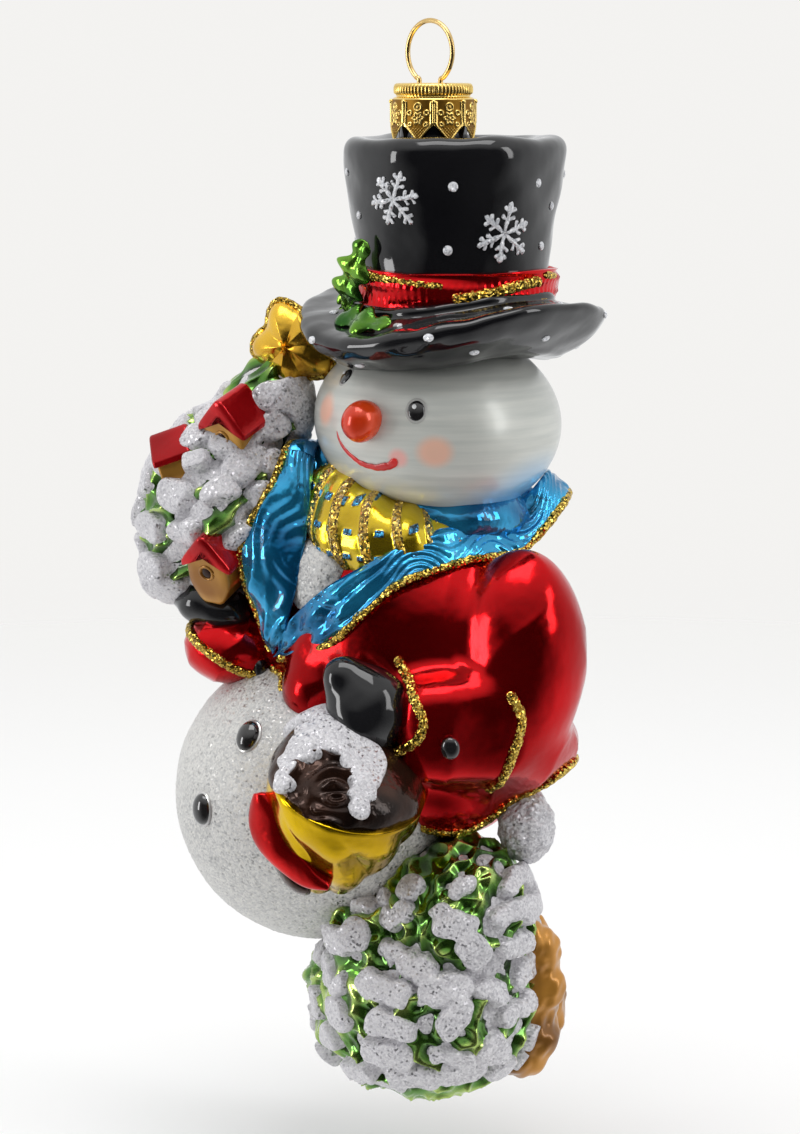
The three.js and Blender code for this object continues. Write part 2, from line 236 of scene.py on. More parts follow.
def solid(name, grids, material, stands_for="glass_figure", fields=None):
    """One piece from grids of points in mm, each closed round its columns and at its two end rows.

    Each end row becomes one point with a fan of triangles. A grid that turns out inside out, by the
    sign of its volume, has its columns reversed. Fields are values per grid point, kept as attributes.
    """
    points, quads, fans, quad_uv, fan_uv, kept = [], [], [], [], [], {key: [] for key in fields or {}}
    base = 0
    for number, grid in enumerate(grids):
        values = {key: fields[key][number] for key in kept}
        rows, columns = grid.shape[:2]
        following = np.roll(grid, -1, axis=1)
        volume = np.einsum("rci,rci->", grid[:-1], np.cross(following[:-1], grid[1:]))
        volume += np.einsum("rci,rci->", following[:-1], np.cross(following[1:], grid[1:]))
        if volume < 0:
            grid = grid[:, ::-1]
            values = {key: value[:, ::-1] for key, value in values.items()}
        inner = grid[1:-1].reshape(-1, 3)
        points.append(np.concatenate([grid[:1].mean(1), inner, grid[-1:].mean(1)]))
        for key, value in values.items():
            kept[key].append(np.concatenate([[value[0].mean()], value[1:-1].ravel(), [value[-1].mean()]]))
        c = np.arange(columns)
        after = (c + 1) % columns
        r = np.arange(rows - 3)[:, None] * columns + 1 + base
        quads.append(np.stack([r + c, r + after, r + columns + after, r + columns + c], -1).reshape(-1, 4))
        last = base + 1 + (rows - 3) * columns
        tip = base + 1 + (rows - 2) * columns
        fans.append(np.stack([c * 0 + base, base + 1 + after, base + 1 + c], -1))
        fans.append(np.stack([last + c, last + after, c * 0 + tip], -1))
        low = np.arange(1, rows - 2)[:, None] / (rows - 1) + 0 * c
        left, right, high = c / columns + 0 * low, (c + 1) / columns + 0 * low, low + 1 / (rows - 1)
        quad_uv.append(np.stack([left, low, right, low, right, high, left, high], -1).reshape(-1, 2))
        near, edge = 0 * c, 0 * c + 1 / (rows - 1)
        around, round_next = c / columns, (c + 1) / columns
        fan_uv.append(np.stack([around, near, round_next, edge, around, edge], -1).reshape(-1, 2))
        fan_uv.append(np.stack([around, 1 - edge, round_next, 1 - edge, around, near + 1], -1).reshape(-1, 2))
        base += len(points[-1])
    points, quads, fans = (np.concatenate(part) for part in (points, quads, fans))
    mesh = bpy.data.meshes.new(name)
    mesh.vertices.add(len(points))
    mesh.vertices.foreach_set("co", (points * 0.001).astype(np.float32).ravel())
    mesh.loops.add(quads.size + fans.size)
    mesh.loops.foreach_set("vertex_index", np.concatenate([quads.ravel(), fans.ravel()]).astype(np.int32))
    mesh.polygons.add(len(quads) + len(fans))
    starts = np.concatenate([np.arange(len(quads)) * 4, quads.size + np.arange(len(fans)) * 3])
    mesh.polygons.foreach_set("loop_start", starts.astype(np.int32))
    mesh.polygons.foreach_set("use_smooth", np.ones(len(starts), bool))
    mesh.update(calc_edges=True)
    layer = mesh.uv_layers.new(name="surface")
    layer.data.foreach_set("uv", np.concatenate(quad_uv + fan_uv).astype(np.float32).ravel())
    for key, values in kept.items():
        kept_field = mesh.attributes.new(key, "FLOAT", "POINT")
        kept_field.data.foreach_set("value", np.concatenate(values).astype(np.float32))
    mesh.validate()
    piece = bpy.data.objects.new(name, mesh)
    bpy.context.collection.objects.link(piece)
    piece.data.materials.append(material)
    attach(piece, "root")
    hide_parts(stands_for)
    return piece


def group(name, inputs, outputs):
    """An empty shader node group with these named sockets, and its two end nodes."""
    tree = bpy.data.node_groups.new(name, "ShaderNodeTree")
    for label, value in inputs.items():
        socket = tree.interface.new_socket(label, in_out="INPUT", socket_type="NodeSocketFloat")
        socket.default_value = value
    for label, kind in outputs.items():
        tree.interface.new_socket(label, in_out="OUTPUT", socket_type="NodeSocket" + kind)
    return tree, tree.nodes.new("NodeGroupInput").outputs, tree.nodes.new("NodeGroupOutput").inputs


# Hand-blown glass: a slow wobble and a finer one in the surface, and a slow drift in the paint.
glass_group, given, made = group(
    "blown_glass", {"Size": 90.0, "Height": 0.0004}, {"Normal": "Vector", "Tone": "Float", "Fine": "Float"}
)
place = node(glass_group, "TexCoord").outputs["Object"]
slow = node(glass_group, "TexNoise",
            {"Vector": place, "Scale": given["Size"], "Detail": 3.0, "Roughness": 0.55})
drift_size = node(glass_group, "Math", {0: given["Size"], 1: 0.45}, operation="MULTIPLY")
drift = node(glass_group, "TexNoise", {"Vector": place, "Scale": drift_size.outputs[0], "Detail": 2.0})
fine = node(glass_group, "TexNoise", {"Vector": place, "Scale": 1400.0, "Detail": 3.0})
wobble = node(glass_group, "Bump", {"Strength": 1.0, "Distance": given["Height"], "Height": slow.outputs[0]})
glass_group.links.new(wobble.outputs["Normal"], made["Normal"])
glass_group.links.new(drift.outputs[0], made["Tone"])
glass_group.links.new(fine.outputs[0], made["Fine"])

# Poured glitter: every cell of a fine pattern is one flake, tipped its own way.
flake_group, given, made = group(
    "glitter_flakes", {"Flakes per metre": 2600.0, "Tip": 1.0},
    {"Normal": "Vector", "Flake": "Float", "Pick": "Float"}
)
place = node(flake_group, "TexCoord").outputs["Object"]
cells = node(flake_group, "TexVoronoi", {"Vector": place, "Scale": given["Flakes per metre"]})
centred = node(flake_group, "VectorMath", {0: cells.outputs["Color"], 1: (0.5, 0.5, 0.5)},
               operation="SUBTRACT")
tipped = node(flake_group, "VectorMath", {0: centred.outputs[0], "Scale": given["Tip"]}, operation="SCALE")
upright = node(flake_group, "NewGeometry").outputs["Normal"]
summed = node(flake_group, "VectorMath", {0: upright, 1: tipped.outputs[0]}, operation="ADD")
facing = node(flake_group, "VectorMath", {0: summed.outputs[0]}, operation="NORMALIZE")
parts = node(flake_group, "SeparateColor", {"Color": cells.outputs["Color"]})
flake_group.links.new(facing.outputs[0], made["Normal"])
flake_group.links.new(parts.outputs["Red"], made["Flake"])
flake_group.links.new(parts.outputs["Green"], made["Pick"])


def blown(tree, size, height):
    """The outputs of the blown-glass group, placed in a material with its own size and height."""
    return node(tree, "Group", {"Size": size, "Height": height}, node_tree=glass_group).outputs


def glitter(tree, per_metre, tip):
    """The outputs of the glitter group, placed in a material with its own flake size and tip."""
    return node(tree, "Group", {"Flakes per metre": per_metre, "Tip": tip}, node_tree=flake_group).outputs


def mixed(tree, factor, low, high):
    """A blend from the low colour to the high one."""
    return node(tree, "Mix", {"Factor": factor, 6: low, 7: high}, data_type="RGBA").outputs[2]


def spread(tree, value, low, high, start=0.0, end=1.0):
    """The value carried from low..high to start..end along an S-curve."""
    feeds = {"Value": value, "From Min": low, "From Max": high, "To Min": start, "To Max": end}
    return node(tree, "MapRange", feeds, interpolation_type="SMOOTHSTEP").outputs["Result"]


def near_spot(tree, centre, squeeze, inner, fade):
    """1 within inner mm of a point of the piece and 0 past fade mm; squeeze scales X, Y and Z."""
    place = node(tree, "TexCoord").outputs["Object"]
    offset = node(tree, "VectorMath", {0: place, 1: tuple(c * 0.001 for c in centre)}, operation="SUBTRACT")
    scaled = node(tree, "VectorMath", {0: offset.outputs[0], 1: squeeze}, operation="MULTIPLY")
    length = node(tree, "VectorMath", {0: scaled.outputs[0]}, operation="LENGTH")
    return spread(tree, length.outputs["Value"], inner * 0.001, fade * 0.001, 1.0, 0.0)


pearl, tree, shader = finish(
    "pearl_white_paint", Metallic=0.2, Roughness=0.36, Coat_Weight=0.5, Coat_Roughness=0.15
)
surface_of = blown(tree, 70.0, 0.0003)
strokes = node(tree, "TexCoord").outputs["Object"]
stretch = node(tree, "Mapping", {"Vector": strokes, "Scale": (60.0, 60.0, 900.0)})
brushed = node(tree, "TexNoise", {"Vector": stretch.outputs[0], "Scale": 1.0, "Detail": 4.0})
white = mixed(tree, spread(tree, brushed.outputs[0], 0.25, 0.75), (0.58, 0.60, 0.56, 1),
              (0.70, 0.71, 0.66, 1))
for centre, squeeze, inner, fade, tint in TINTED_SPOTS:
    white = mixed(tree, near_spot(tree, centre, squeeze, inner, fade), white, tint)
tree.links.new(white, shader.inputs["Base Color"])
stroke_bump = node(
    tree, "Bump",
    {"Strength": 0.25, "Distance": 0.00004, "Height": brushed.outputs[0], "Normal": surface_of["Normal"]}
)
tree.links.new(stroke_bump.outputs[0], shader.inputs["Normal"])

grid, normals = skin(HEAD, (1, 1, -66.6), (1, 1, -66.6), 170, 260)
solid("head", [raised(grid, normals, 0.12 * waves(grid, 15, 3))], pearl)

# ---- face ----
# Eyes are black enamel drops, each with a grey ring and a white glint, which is a painted highlight.
# The smile is one red brush stroke, and the nose is a blown drop in orange-red.

EYES = [((12.4, -15.7, -62.7), 1.0), ((-3.0, -16.5, -58.2), 0.85)]
SMILE = [(-2.1, -19.8, -66.6), (-1.6, -19.8, -68.2), (-0.4, -19.6, -69.8), (2.5, -18.9, -71.8),
         (5.9, -18.1, -72.4), (8.6, -17.5, -71.6), (9.5, -17.5, -70.6)]
NOSE = [((4.9, -20.3, -63.9), (2.5, 3.5, 2.5), (0, 0, 20)),
        ((4.6, -21.0, -65.3), (2.3, 3.0, 2.5), (0, 0, 20))]


def spline(stops, per_stop):
    """A smooth curve through the stops (uniform Catmull-Rom), with that many points for each stop."""
    stops = np.array(stops, float)
    padded = np.concatenate([2 * stops[:1] - stops[1:2], stops, 2 * stops[-1:] - stops[-2:-1]])
    t = np.linspace(0, len(stops) - 1, per_stop * len(stops))
    k = np.minimum(t.astype(int), len(stops) - 2)
    f = (t - k)[:, None]
    a, b, c, d = padded[k], padded[k + 1], padded[k + 2], padded[k + 3]
    return 0.5 * (2 * b + (c - a) * f + (2 * a - 5 * b + 4 * c - d) * f**2 + (3 * b - a - 3 * c + d) * f**3)


def curve(stops, count):
    """Points evenly spaced in length along the spline through the stops."""
    fine = spline(stops, 24)
    length = np.concatenate([[0], np.cumsum(np.linalg.norm(np.diff(fine, axis=0), axis=1))])
    even = np.linspace(0, length[-1], count)
    return np.stack([np.interp(even, length, fine[:, i]) for i in range(3)], -1)


def cord(path, up, radius, sides=10, flat=1.0, lump=0.0, seed=1):
    """A round-ended tube along a path: path + radius (flat cos a x up + sin a x side) at each angle a."""
    along = unit(np.gradient(path, axis=0))
    side = unit(np.cross(along, up))
    up = np.cross(side, along)
    gone = np.concatenate([[0], np.cumsum(np.linalg.norm(np.diff(path, axis=0), axis=1))])
    left = np.minimum(gone, gone[-1] - gone) / (np.max(radius) * 1.1)
    round_end = np.sqrt(1 - (1 - np.clip(left, 0, 1)) ** 2)
    a = np.linspace(0, 2 * np.pi, sides, endpoint=False)[None, :, None]
    ring = up[:, None] * np.cos(a) * flat + side[:, None] * np.sin(a)
    size = (np.asarray(radius) * round_end)[:, None, None] * np.ones((len(path), 1, 1))
    grid = path[:, None] + ring * size
    if lump:
        grid = path[:, None] + ring * size * (1 + lump * waves(grid, 1.3, seed))[..., None]
    return grid


def dome(centre, up, across, half, rows=14, columns=28):
    """A lens that sits on a surface: half sizes along across, along the second level direction, and up."""
    up, across = unit(np.array(up, float)), np.array(across, float)
    across = unit(across - up * (across @ up))
    second = np.cross(up, across)
    phi = np.linspace(0, np.pi, rows)[:, None, None]
    a = np.linspace(0, 2 * np.pi, columns, endpoint=False)[None, :, None]
    level = across * np.cos(a) * half[0] + second * np.sin(a) * half[1]
    return np.array(centre) + level * np.sin(phi) - up * np.cos(phi) * half[2]


enamel, tree, shader = finish("black_enamel", Roughness=0.08, Coat_Weight=1.0, Coat_Roughness=0.03)
surface_of = blown(tree, 300.0, 0.00006)
tree.links.new(mixed(tree, surface_of["Tone"], (0.004, 0.004, 0.005, 1), (0.018, 0.017, 0.016, 1)),
               shader.inputs["Base Color"])
tree.links.new(surface_of["Normal"], shader.inputs["Normal"])


def enamel_paint(name, low, high, roughness=0.25, metallic=0.0, size=250.0):
    """Brushed-on enamel: two tones drift into each other, over a faint brushed unevenness."""
    paint, tree, shader = finish(
        name, Roughness=roughness, Metallic=metallic, Coat_Weight=0.35, Coat_Roughness=0.08
    )
    surface_of = blown(tree, size, 0.0001)
    tone = spread(tree, surface_of["Tone"], 0.35, 0.65)
    tree.links.new(mixed(tree, tone, (*low, 1), (*high, 1)), shader.inputs["Base Color"])
    tree.links.new(surface_of["Normal"], shader.inputs["Normal"])
    return paint


socket_grey = enamel_paint("grey_socket_paint", (0.42, 0.42, 0.40), (0.58, 0.58, 0.56), 0.35)
# White paint used only for the eye glints: a painted highlight.
glint_highlight_paint = enamel_paint("glint_highlight_paint", (0.80, 0.81, 0.82), (0.92, 0.92, 0.92), 0.3)
smile_red = enamel_paint("smile_red", (0.55, 0.012, 0.012), (0.78, 0.03, 0.025), 0.28)
nose_paint = enamel_paint("nose_orange_red", (0.66, 0.035, 0.006), (0.95, 0.10, 0.012), 0.2, 0.25, 120.0)

for number, (place, size) in enumerate(EYES):
    centre = settle([place], HEAD)[0]
    up = outward(centre[None], HEAD, 1.0)[0]
    label = ("left", "right")[number]
    solid(f"{label}_eye_socket", [dome(centre, up, (0, 0, 1), (2.15 * size, 1.85 * size, 0.16))], socket_grey)
    solid(f"{label}_eye", [dome(centre + up * 0.08, up, (0, 0, 1), (1.72 * size, 1.42 * size, 0.42))], enamel)
    across = np.cross(up, (0, 0, 1))
    # The glint is a painted highlight, a thin white dome above the middle of the eye.
    glint = centre + up * 0.40 + np.array([0, 0, 0.62]) * size + across * 0.3
    solid(f"{label}_eye_glint", [dome(glint, up, (0, 0, 1), (0.42 * size, 0.36 * size, 0.12))], glint_highlight_paint)

path = settle(curve(SMILE, 90), HEAD, proud=0.02)
width = np.interp(np.linspace(0, 1, 90), [0, 0.15, 0.55, 0.9, 1], [0.22, 0.34, 0.52, 0.72, 0.6])
solid("smile", [cord(path, outward(path, HEAD, 1.0), width, 14, 0.35, 0.12, 5)], smile_red)

grid, normals = skin(NOSE, (4.7, -20.7, -65), (4.7, -20.7, -64.2), 90, 120, 1.2)
solid("nose", [raised(grid, normals, 0.06 * waves(grid, 5, 8))], nose_paint)

# ---- neck and top hat ----
# The crown and the brim are one blown shape in gloss black lacquer. The crown flares to a soft-edged,
# dimpled top; the brim is thick, its sides curl up, and it slopes in underneath to the head.

HAT_AXIS = np.array([2.6, 3.4])
CROWN = [(0, -52), (15.2, -52), (15.6, -48), (16.0, -43), (16.3, -38), (16.9, -33), (17.9, -27),
         (18.7, -22.6), (18.6, -20.2), (17.4, -18.8), (15.4, -18.6), (12.5, -19.6), (9.0, -21.1),
         (5.0, -21.4), (0, -21.4)]
BRIM_CENTRE = np.array([2.6, 2.6, -49.6])
BRIM_CURL = 3.2
BRIM_ROWS, BRIM_COLUMNS = 110, 300
NECK_TUBE = [(0, -24), (5.6, -24), (5.7, -23), (5.7, -12), (5.4, -10.9), (0, -10.8)]
BRIM = [(0, -6.4), (16.0, -6.2), (19.5, -5.2), (23.6, -2.6), (25.4, -0.6), (25.9, 0.5), (25.3, 1.5),
        (23.5, 1.9), (20.5, 2.0), (17.8, 2.9), (15.8, 4.6), (0, 5.0)]


def lathe(profile, rows, columns):
    """A profile of (radius, height) smoothed and turned about Z: (r cos t, r sin t, z), and its normals."""
    line = curve([(r, 0, z) for r, z in profile], rows)
    t = np.linspace(0, 2 * np.pi, columns, endpoint=False)
    spin = np.stack([np.cos(t), np.sin(t), 0 * t], -1)
    grid = line[:, None, :1] * spin + line[:, None, 2:] * (0, 0, 1)
    run = unit(np.gradient(line, axis=0))
    normals = run[:, None, 2:] * spin - run[:, None, :1] * (0, 0, 1)
    return grid, normals


def curled(grid):
    """Lifts the brim by curl (x^2 - y^2) / R^2 of its own radius, and moves it to its place."""
    lift = BRIM_CURL * (grid[..., 0] ** 2 - grid[..., 1] ** 2) / 26.0**2
    return grid + BRIM_CENTRE + lift[..., None] * (0, 0, 1)


def lacquer(name, deep, bright, metallic=0.9, roughness=0.12, size=90.0, height=0.0004, coat=0.12):
    """Transparent lacquer over silvering: the colour pools between a deep and a bright tone."""
    paint, tree, shader = finish(
        name, Metallic=metallic, Roughness=roughness, Coat_Weight=coat, Coat_Roughness=0.03, Coat_IOR=1.5
    )
    surface_of = blown(tree, size, height)
    pooled = spread(tree, surface_of["Tone"], 0.3, 0.7)
    tree.links.new(mixed(tree, pooled, (*deep, 1), (*bright, 1)), shader.inputs["Base Color"])
    tree.links.new(surface_of["Normal"], shader.inputs["Normal"])
    rough = spread(tree, surface_of["Fine"], 0.3, 0.75, max(roughness - 0.04, 0.02), roughness + 0.06)
    tree.links.new(rough, shader.inputs["Roughness"])
    return paint


hat_black = lacquer("gloss_black_lacquer", (0.004, 0.004, 0.005), (0.012, 0.012, 0.013), 0.0, 0.06, 70.0,
                    0.0005, 0.25)

grid, normals = lathe(CROWN, 150, 220)
grid = grid + (*HAT_AXIS, 0)
crown_relief = 0.35 * waves(grid, 17, 21) + 0.10 * waves(grid, 7, 22)
crown_grid = raised(grid, normals, crown_relief)
solid("hat_crown", [crown_grid], hat_black)
grid, normals = lathe(BRIM, BRIM_ROWS, BRIM_COLUMNS)
brim_grid = curled(raised(grid, normals, 0.30 * waves(grid, 14, 31) + 0.12 * waves(grid, 6, 32)))
solid("hat_brim", [brim_grid], hat_black)
grid, _ = lathe(NECK_TUBE, 40, 60)
solid("neck", [grid + (0.4, 0.4, 0)], hat_black)

# ---- hat band ----
# Red lacquer over a moulded band with rows of beads, edged with poured gold glitter.

BAND = [(15.0, -49.0), (16.6, -48.6), (17.2, -47.4), (17.25, -45.0), (17.2, -42.4), (16.9, -41.0),
        (16.0, -40.6)]

hat_red = lacquer("band_red_lacquer", (0.44, 0.001, 0.003), (0.84, 0.008, 0.012), 0.92, 0.14, 120.0, 0.0003)
gold_glitter, tree, shader = finish("gold_glitter", Metallic=1.0, Roughness=0.22)
flakes = glitter(tree, 3400.0, 1.7)
tree.links.new(mixed(tree, flakes["Flake"], (0.42, 0.22, 0.015, 1), (1.0, 0.74, 0.16, 1)),
               shader.inputs["Base Color"])
tree.links.new(flakes["Normal"], shader.inputs["Normal"])


def hat_wall(bearing, z, proud):
    """A point on the crown at a bearing in degrees and a height, that far proud of the turned profile."""
    bearing, z = np.radians(bearing), np.asarray(z, float)
    radius = np.interp(z, [-52, -48, -43, -38, -33, -27, -22.6],
                       [15.2, 15.6, 16.0, 16.3, 16.9, 17.9, 18.7]) + proud
    flat = np.stack([radius * np.cos(bearing), radius * np.sin(bearing)], -1) + HAT_AXIS
    return np.concatenate([flat, (z + 0 * bearing)[..., None]], -1)


def on_crown(bearing, z, proud):
    """The same point, moved with the crown's hand-made unevenness."""
    point = hat_wall(bearing, z, 0)
    swell = 0.35 * waves(point, 17, 21) + 0.10 * waves(point, 7, 22)
    return point + unit(point - (*HAT_AXIS, 0) - point * (0, 0, 1)) * (swell + proud)[..., None]


grid, normals = lathe([(0, -49.2), *BAND, (0, -40.4)], 90, 300)
t = np.arctan2(grid[..., 1], grid[..., 0])
beads = sum(
    np.exp(-(((grid[..., 2] - z - 0.5 * np.sin(2 * t + phase)) / 0.42) ** 2)) * (0.5 + 0.5 * np.cos(84 * t))
    for z, phase in ((-42.6, 0.4), (-44.6, 1.6), (-46.8, 0.9))
)
wave = 0.35 * np.sin(3 * t + 0.9 * grid[..., 2])
solid("hat_band", [raised(grid, normals, 0.28 * beads + wave) + (*HAT_AXIS, 0)], hat_red)


def gold_line(name, path, up, radius, seed, flat=0.75):
    """A poured line of glitter: a lumpy, slightly flattened cord."""
    return solid(name, [cord(path, up, radius, 14, flat, 0.10, seed)], gold_glitter)


seam = np.linspace(-118, -52, 120)
path = on_crown(seam, -41.0 - 1.7 * ramp(seam, -118, -52), 1.15)
gold_line("gold_line_upper", path, path - (*HAT_AXIS, -42), 0.72, 61)
seam = np.linspace(-48, 8, 120)
path = on_crown(seam, -44.6 + 2.4 * ramp(seam, -48, 8), 1.30)
gold_line("gold_line_lower", path, path - (*HAT_AXIS, -42), 0.9, 62)
seam = np.linspace(12, 225, 300)
path = on_crown(seam, -41.2 - 1.2 * np.sin(np.radians(seam - 12) * 1.7), 1.1)
gold_line("gold_line_back", path, path - (*HAT_AXIS, -42), 0.7, 63)
seam = np.linspace(-70, 20, 200)
path = on_crown(seam, -47.4 + 1.9 * ramp(seam, -60, 20), 1.2)
gold_line("gold_line_foot", path, path - (*HAT_AXIS, -42), 0.42, 64)

# ---- holly ----
# Moulded holly leaves in green lacquer where the band meets the brim.

HOLLY = [([(-7.2, -12.2, -47.8), (-5.4, -13.6, -44), (-2.8, -14.6, -40), (-0.6, -14.6, -35.4)],
          (0.25, -0.95, 0.1), 3.6),
         ([(-6.5, -11.0, -46.5), (-3, -15.6, -48.2), (2.5, -17.6, -48.8), (9, -18.2, -48.6)],
          (0.1, -0.75, 0.65), 3.0),
         ([(-6.5, -10.6, -46.4), (-9.5, -9.6, -45.6), (-12.5, -7.6, -44.6)], (-0.6, -0.5, 0.6), 2.2)]

holly_green = lacquer("holly_green_lacquer", (0.015, 0.10, 0.012), (0.22, 0.46, 0.05), 0.9, 0.14, 260.0,
                      0.0005)
leaves = []
for number, (stops, up, width) in enumerate(HOLLY):
    path = curve(stops, 90)
    s = np.linspace(0, 1, 90)
    spines = 0.80 + 0.28 * np.cos(2 * np.pi * 3.2 * s)
    half = width * np.sin(np.pi * np.clip(s * 0.96 + 0.02, 0, 1)) ** 0.6 * spines
    along = unit(np.gradient(path, axis=0))
    side = unit(np.cross(along, up))
    lift = np.cross(side, along)
    a = np.linspace(0, 2 * np.pi, 40, endpoint=False)[None, :, None]
    rise = 0.9 * np.sin(a) - 0.35 * np.exp(-((np.cos(a) / 0.25) ** 2)) * (np.sin(a) > 0)
    grid = path[:, None] + side[:, None] * np.cos(a) * half[:, None, None]
    leaves.append(grid + lift[:, None] * (rise + 0.5) * (half / width)[:, None, None])
solid("holly", leaves, holly_green)

# ---- snow on the hat ----
# Two branched snowflakes and scattered dots, piped on in white glitter paint.

SNOWFLAKES = [(-80, -28.6, 5.1, 8), (-17, -34.2, 5.4, 22), (95, -30.5, 5.2, 0), (178, -33.0, 5.2, 15)]
CROWN_DOTS = [(-47, -26.4, 1.0), (-50, -36.8, 0.95), (4, -26, 0.85), (14, -36.5, 0.85), (-112, -31.5, 0.8),
              (-126, -24.5, 0.8), (24, -30, 0.8), (52, -25, 0.9), (60, -36, 0.9), (120, -24.5, 0.9),
              (133, -36, 0.8), (150, -28, 0.8), (205, -26, 0.9), (214, -36, 0.8)]
BRIM_DOTS, BRIM_DOT_SIZE = 20, 0.9
BRIM_DOT_RINGS = (0.40, 0.63, 0.51)

snow_paint, tree, shader = finish("white_glitter_paint", Roughness=0.4, Metallic=0.15)
flakes = glitter(tree, 3400.0, 0.9)
tree.links.new(mixed(tree, flakes["Flake"], (0.60, 0.62, 0.66, 1), (0.98, 0.98, 1.0, 1)),
               shader.inputs["Base Color"])
tree.links.new(spread(tree, flakes["Pick"], 0.75, 0.9), shader.inputs["Metallic"])
tree.links.new(flakes["Normal"], shader.inputs["Normal"])

for number, (bearing, z, arm, twist) in enumerate(SNOWFLAKES):
    strokes = []
    for turn in np.radians(np.arange(6) * 60 + twist):
        reach = arm * (1.0 if len(strokes) % 2 else 0.9)
        tips = [((0, 0), (reach, 0), 0.40)]
        tips += [((reach * f, 0), (reach * f + s * 0.6, side * s), 0.33)
                 for f, s in ((0.42, 1.25), (0.68, 1.15)) for side in (-1, 1)]
        for (a0, b0), (a1, b1), radius in tips:
            t = np.linspace(0, 1, 16)
            a, b = a0 + (a1 - a0) * t, b0 + (b1 - b0) * t
            level, rise = a * np.cos(turn) - b * np.sin(turn), a * np.sin(turn) + b * np.cos(turn)
            path = on_crown(bearing + np.degrees(level / 17.4), z + rise, 0.12)
            strokes.append(cord(path, path - (*HAT_AXIS, z), radius * (0.8 + 0.45 * t), 8, 0.55, 0.3,
                                70 + number))
    solid(f"snowflake_{number + 1}", strokes, snow_paint)

dots = []
for bearing, z, size in CROWN_DOTS:
    centre = on_crown(np.array([bearing]), z, 0.02)[0]
    dots.append(dome(centre, centre - (*HAT_AXIS, z), (0, 0, 1), (size * 0.9, size * 0.85, 0.35), 9, 14))
solid("crown_dots", dots, snow_paint)

dots = []
for number in range(BRIM_DOTS):
    row = int(BRIM_DOT_RINGS[number % 3] * (BRIM_ROWS - 1))
    column = number * BRIM_COLUMNS // BRIM_DOTS
    centre = brim_grid[row, column]
    level = brim_grid[row, (column + 1) % BRIM_COLUMNS] - centre
    up = np.cross(level, brim_grid[row + 1, column] - centre)
    dots.append(dome(centre, up, (0, 0, 1), (BRIM_DOT_SIZE * 0.75, BRIM_DOT_SIZE, 0.35), 9, 14))
solid("brim_dots", dots, snow_paint)

# ---- cap and ring ----
# The cap is thin gilt tin, stamped with a filigree in eight pointed petals; the ring is one spring wire.

CAP_AXIS = (0.4, 0.4, 0)
PETALS = 8

gilt, tree, shader = finish("gilt_stamped_tin", Metallic=1.0, Roughness=0.28)
surface_of = blown(tree, 500.0, 0.00005)
# Painted light and shade: the relief attribute makes the gilt dark on the flat skirt, bright on the relief.
depth = node(tree, "Attribute", attribute_name="relief").outputs["Fac"]
gold = mixed(tree, spread(tree, depth, 0.05, 0.65), (0.30, 0.15, 0.02, 1), (1.0, 0.72, 0.22, 1))
tree.links.new(gold, shader.inputs["Base Color"])
tree.links.new(spread(tree, depth, 0.0, 0.7, 0.5, 0.2), shader.inputs["Roughness"])
tree.links.new(surface_of["Normal"], shader.inputs["Normal"])

columns = 512
t = np.linspace(0, 2 * np.pi, columns, endpoint=False)
beat = (t + np.pi / 4) * PETALS / (2 * np.pi)
petal = np.abs(beat - np.round(beat)) * 2
tip_height = -16.7 - 3.0 * petal**1.15
s = np.linspace(0, 1, 130)[:, None]
inner_z = -12.4 + (tip_height + 12.4) * s[:40]
inside = np.stack([6.45 + 0.15 * s[:40] + 0 * t, inner_z], -1)
outer_s = np.linspace(1, 0, 96)[:, None]
outer_z = -12.6 + (tip_height + 12.6) * outer_s
outside = np.stack([6.85 + 0.18 * outer_s**2 + 0 * t, outer_z], -1)
shoulder = np.array([(6.8, -12.45), (6.6, -12.25), (6.25, -12.15), (6.15, -12.0), (6.15, -11.8),
                     (6.3, -11.65), (6.45, -11.5), (6.5, -11.1), (6.5, -10.5), (6.42, -10.1), (6.2, -9.9),
                     (5.8, -9.85), (4, -9.83), (2, -9.82), (0, -9.8)])
shoulder = np.broadcast_to(shoulder[:, None], (len(shoulder), columns, 2))
ceiling = np.broadcast_to(np.array([(0, -12.3), (3.2, -12.3)])[:, None], (2, columns, 2))
section = np.concatenate([ceiling, inside, outside, shoulder])
u = (beat - np.floor(beat) - 0.5) * 2 * 2.75
w = -(section[..., 1] + 12.6)
edge = tip_height * -1 - 12.6
border = np.exp(-((np.abs(u) - 2.35) / 0.22) ** 2) + np.exp(-(((edge - w) - 0.35) / 0.20) ** 2)
ribs = (0.5 + 0.5 * np.cos(2 * np.pi * w / 0.42)) * np.exp(-((np.abs(u) - 2.72) / 0.16) ** 2)
from_dot = np.hypot(u, w - 1.15)
ring_dot = np.exp(-((from_dot - 0.62) / 0.15) ** 2) + np.exp(-(from_dot / 0.24) ** 2)
around = np.arctan2(w - 3.0, u)
rosette = np.exp(-((np.hypot(u, w - 3.0) - 0.75 - 0.18 * np.cos(6 * around)) / 0.22) ** 2)
rosette = rosette + np.exp(-(np.hypot(u, w - 3.0) / 0.25) ** 2)
side_scroll = np.exp(-((np.hypot(np.abs(u) - 1.55, w - 2.1) - 0.38) / 0.13) ** 2)
side_scroll = side_scroll + np.exp(-((np.hypot(np.abs(u) - 1.45, w - 4.0) - 0.30) / 0.13) ** 2)
grains = ramp(np.cos(2 * np.pi * u / 0.55) * np.cos(2 * np.pi * w / 0.55), 0.3, 0.9) * ramp(w, 4.2, 4.8)
relief = np.clip(border + ribs + ring_dot + rosette + side_scroll + 0.7 * grains, 0, 1.1)
on_skirt = np.zeros(section.shape[:1])
first_row = len(ceiling) + len(inside)
on_skirt[first_row : first_row + len(outside)] = 1
relief = relief * on_skirt[:, None] * ramp(w, 0.1, 0.35)
flutes = np.zeros(section.shape[:1])
flutes[-11:-5] = (0.6, 1, 1, 1, 0.8, 0.3)
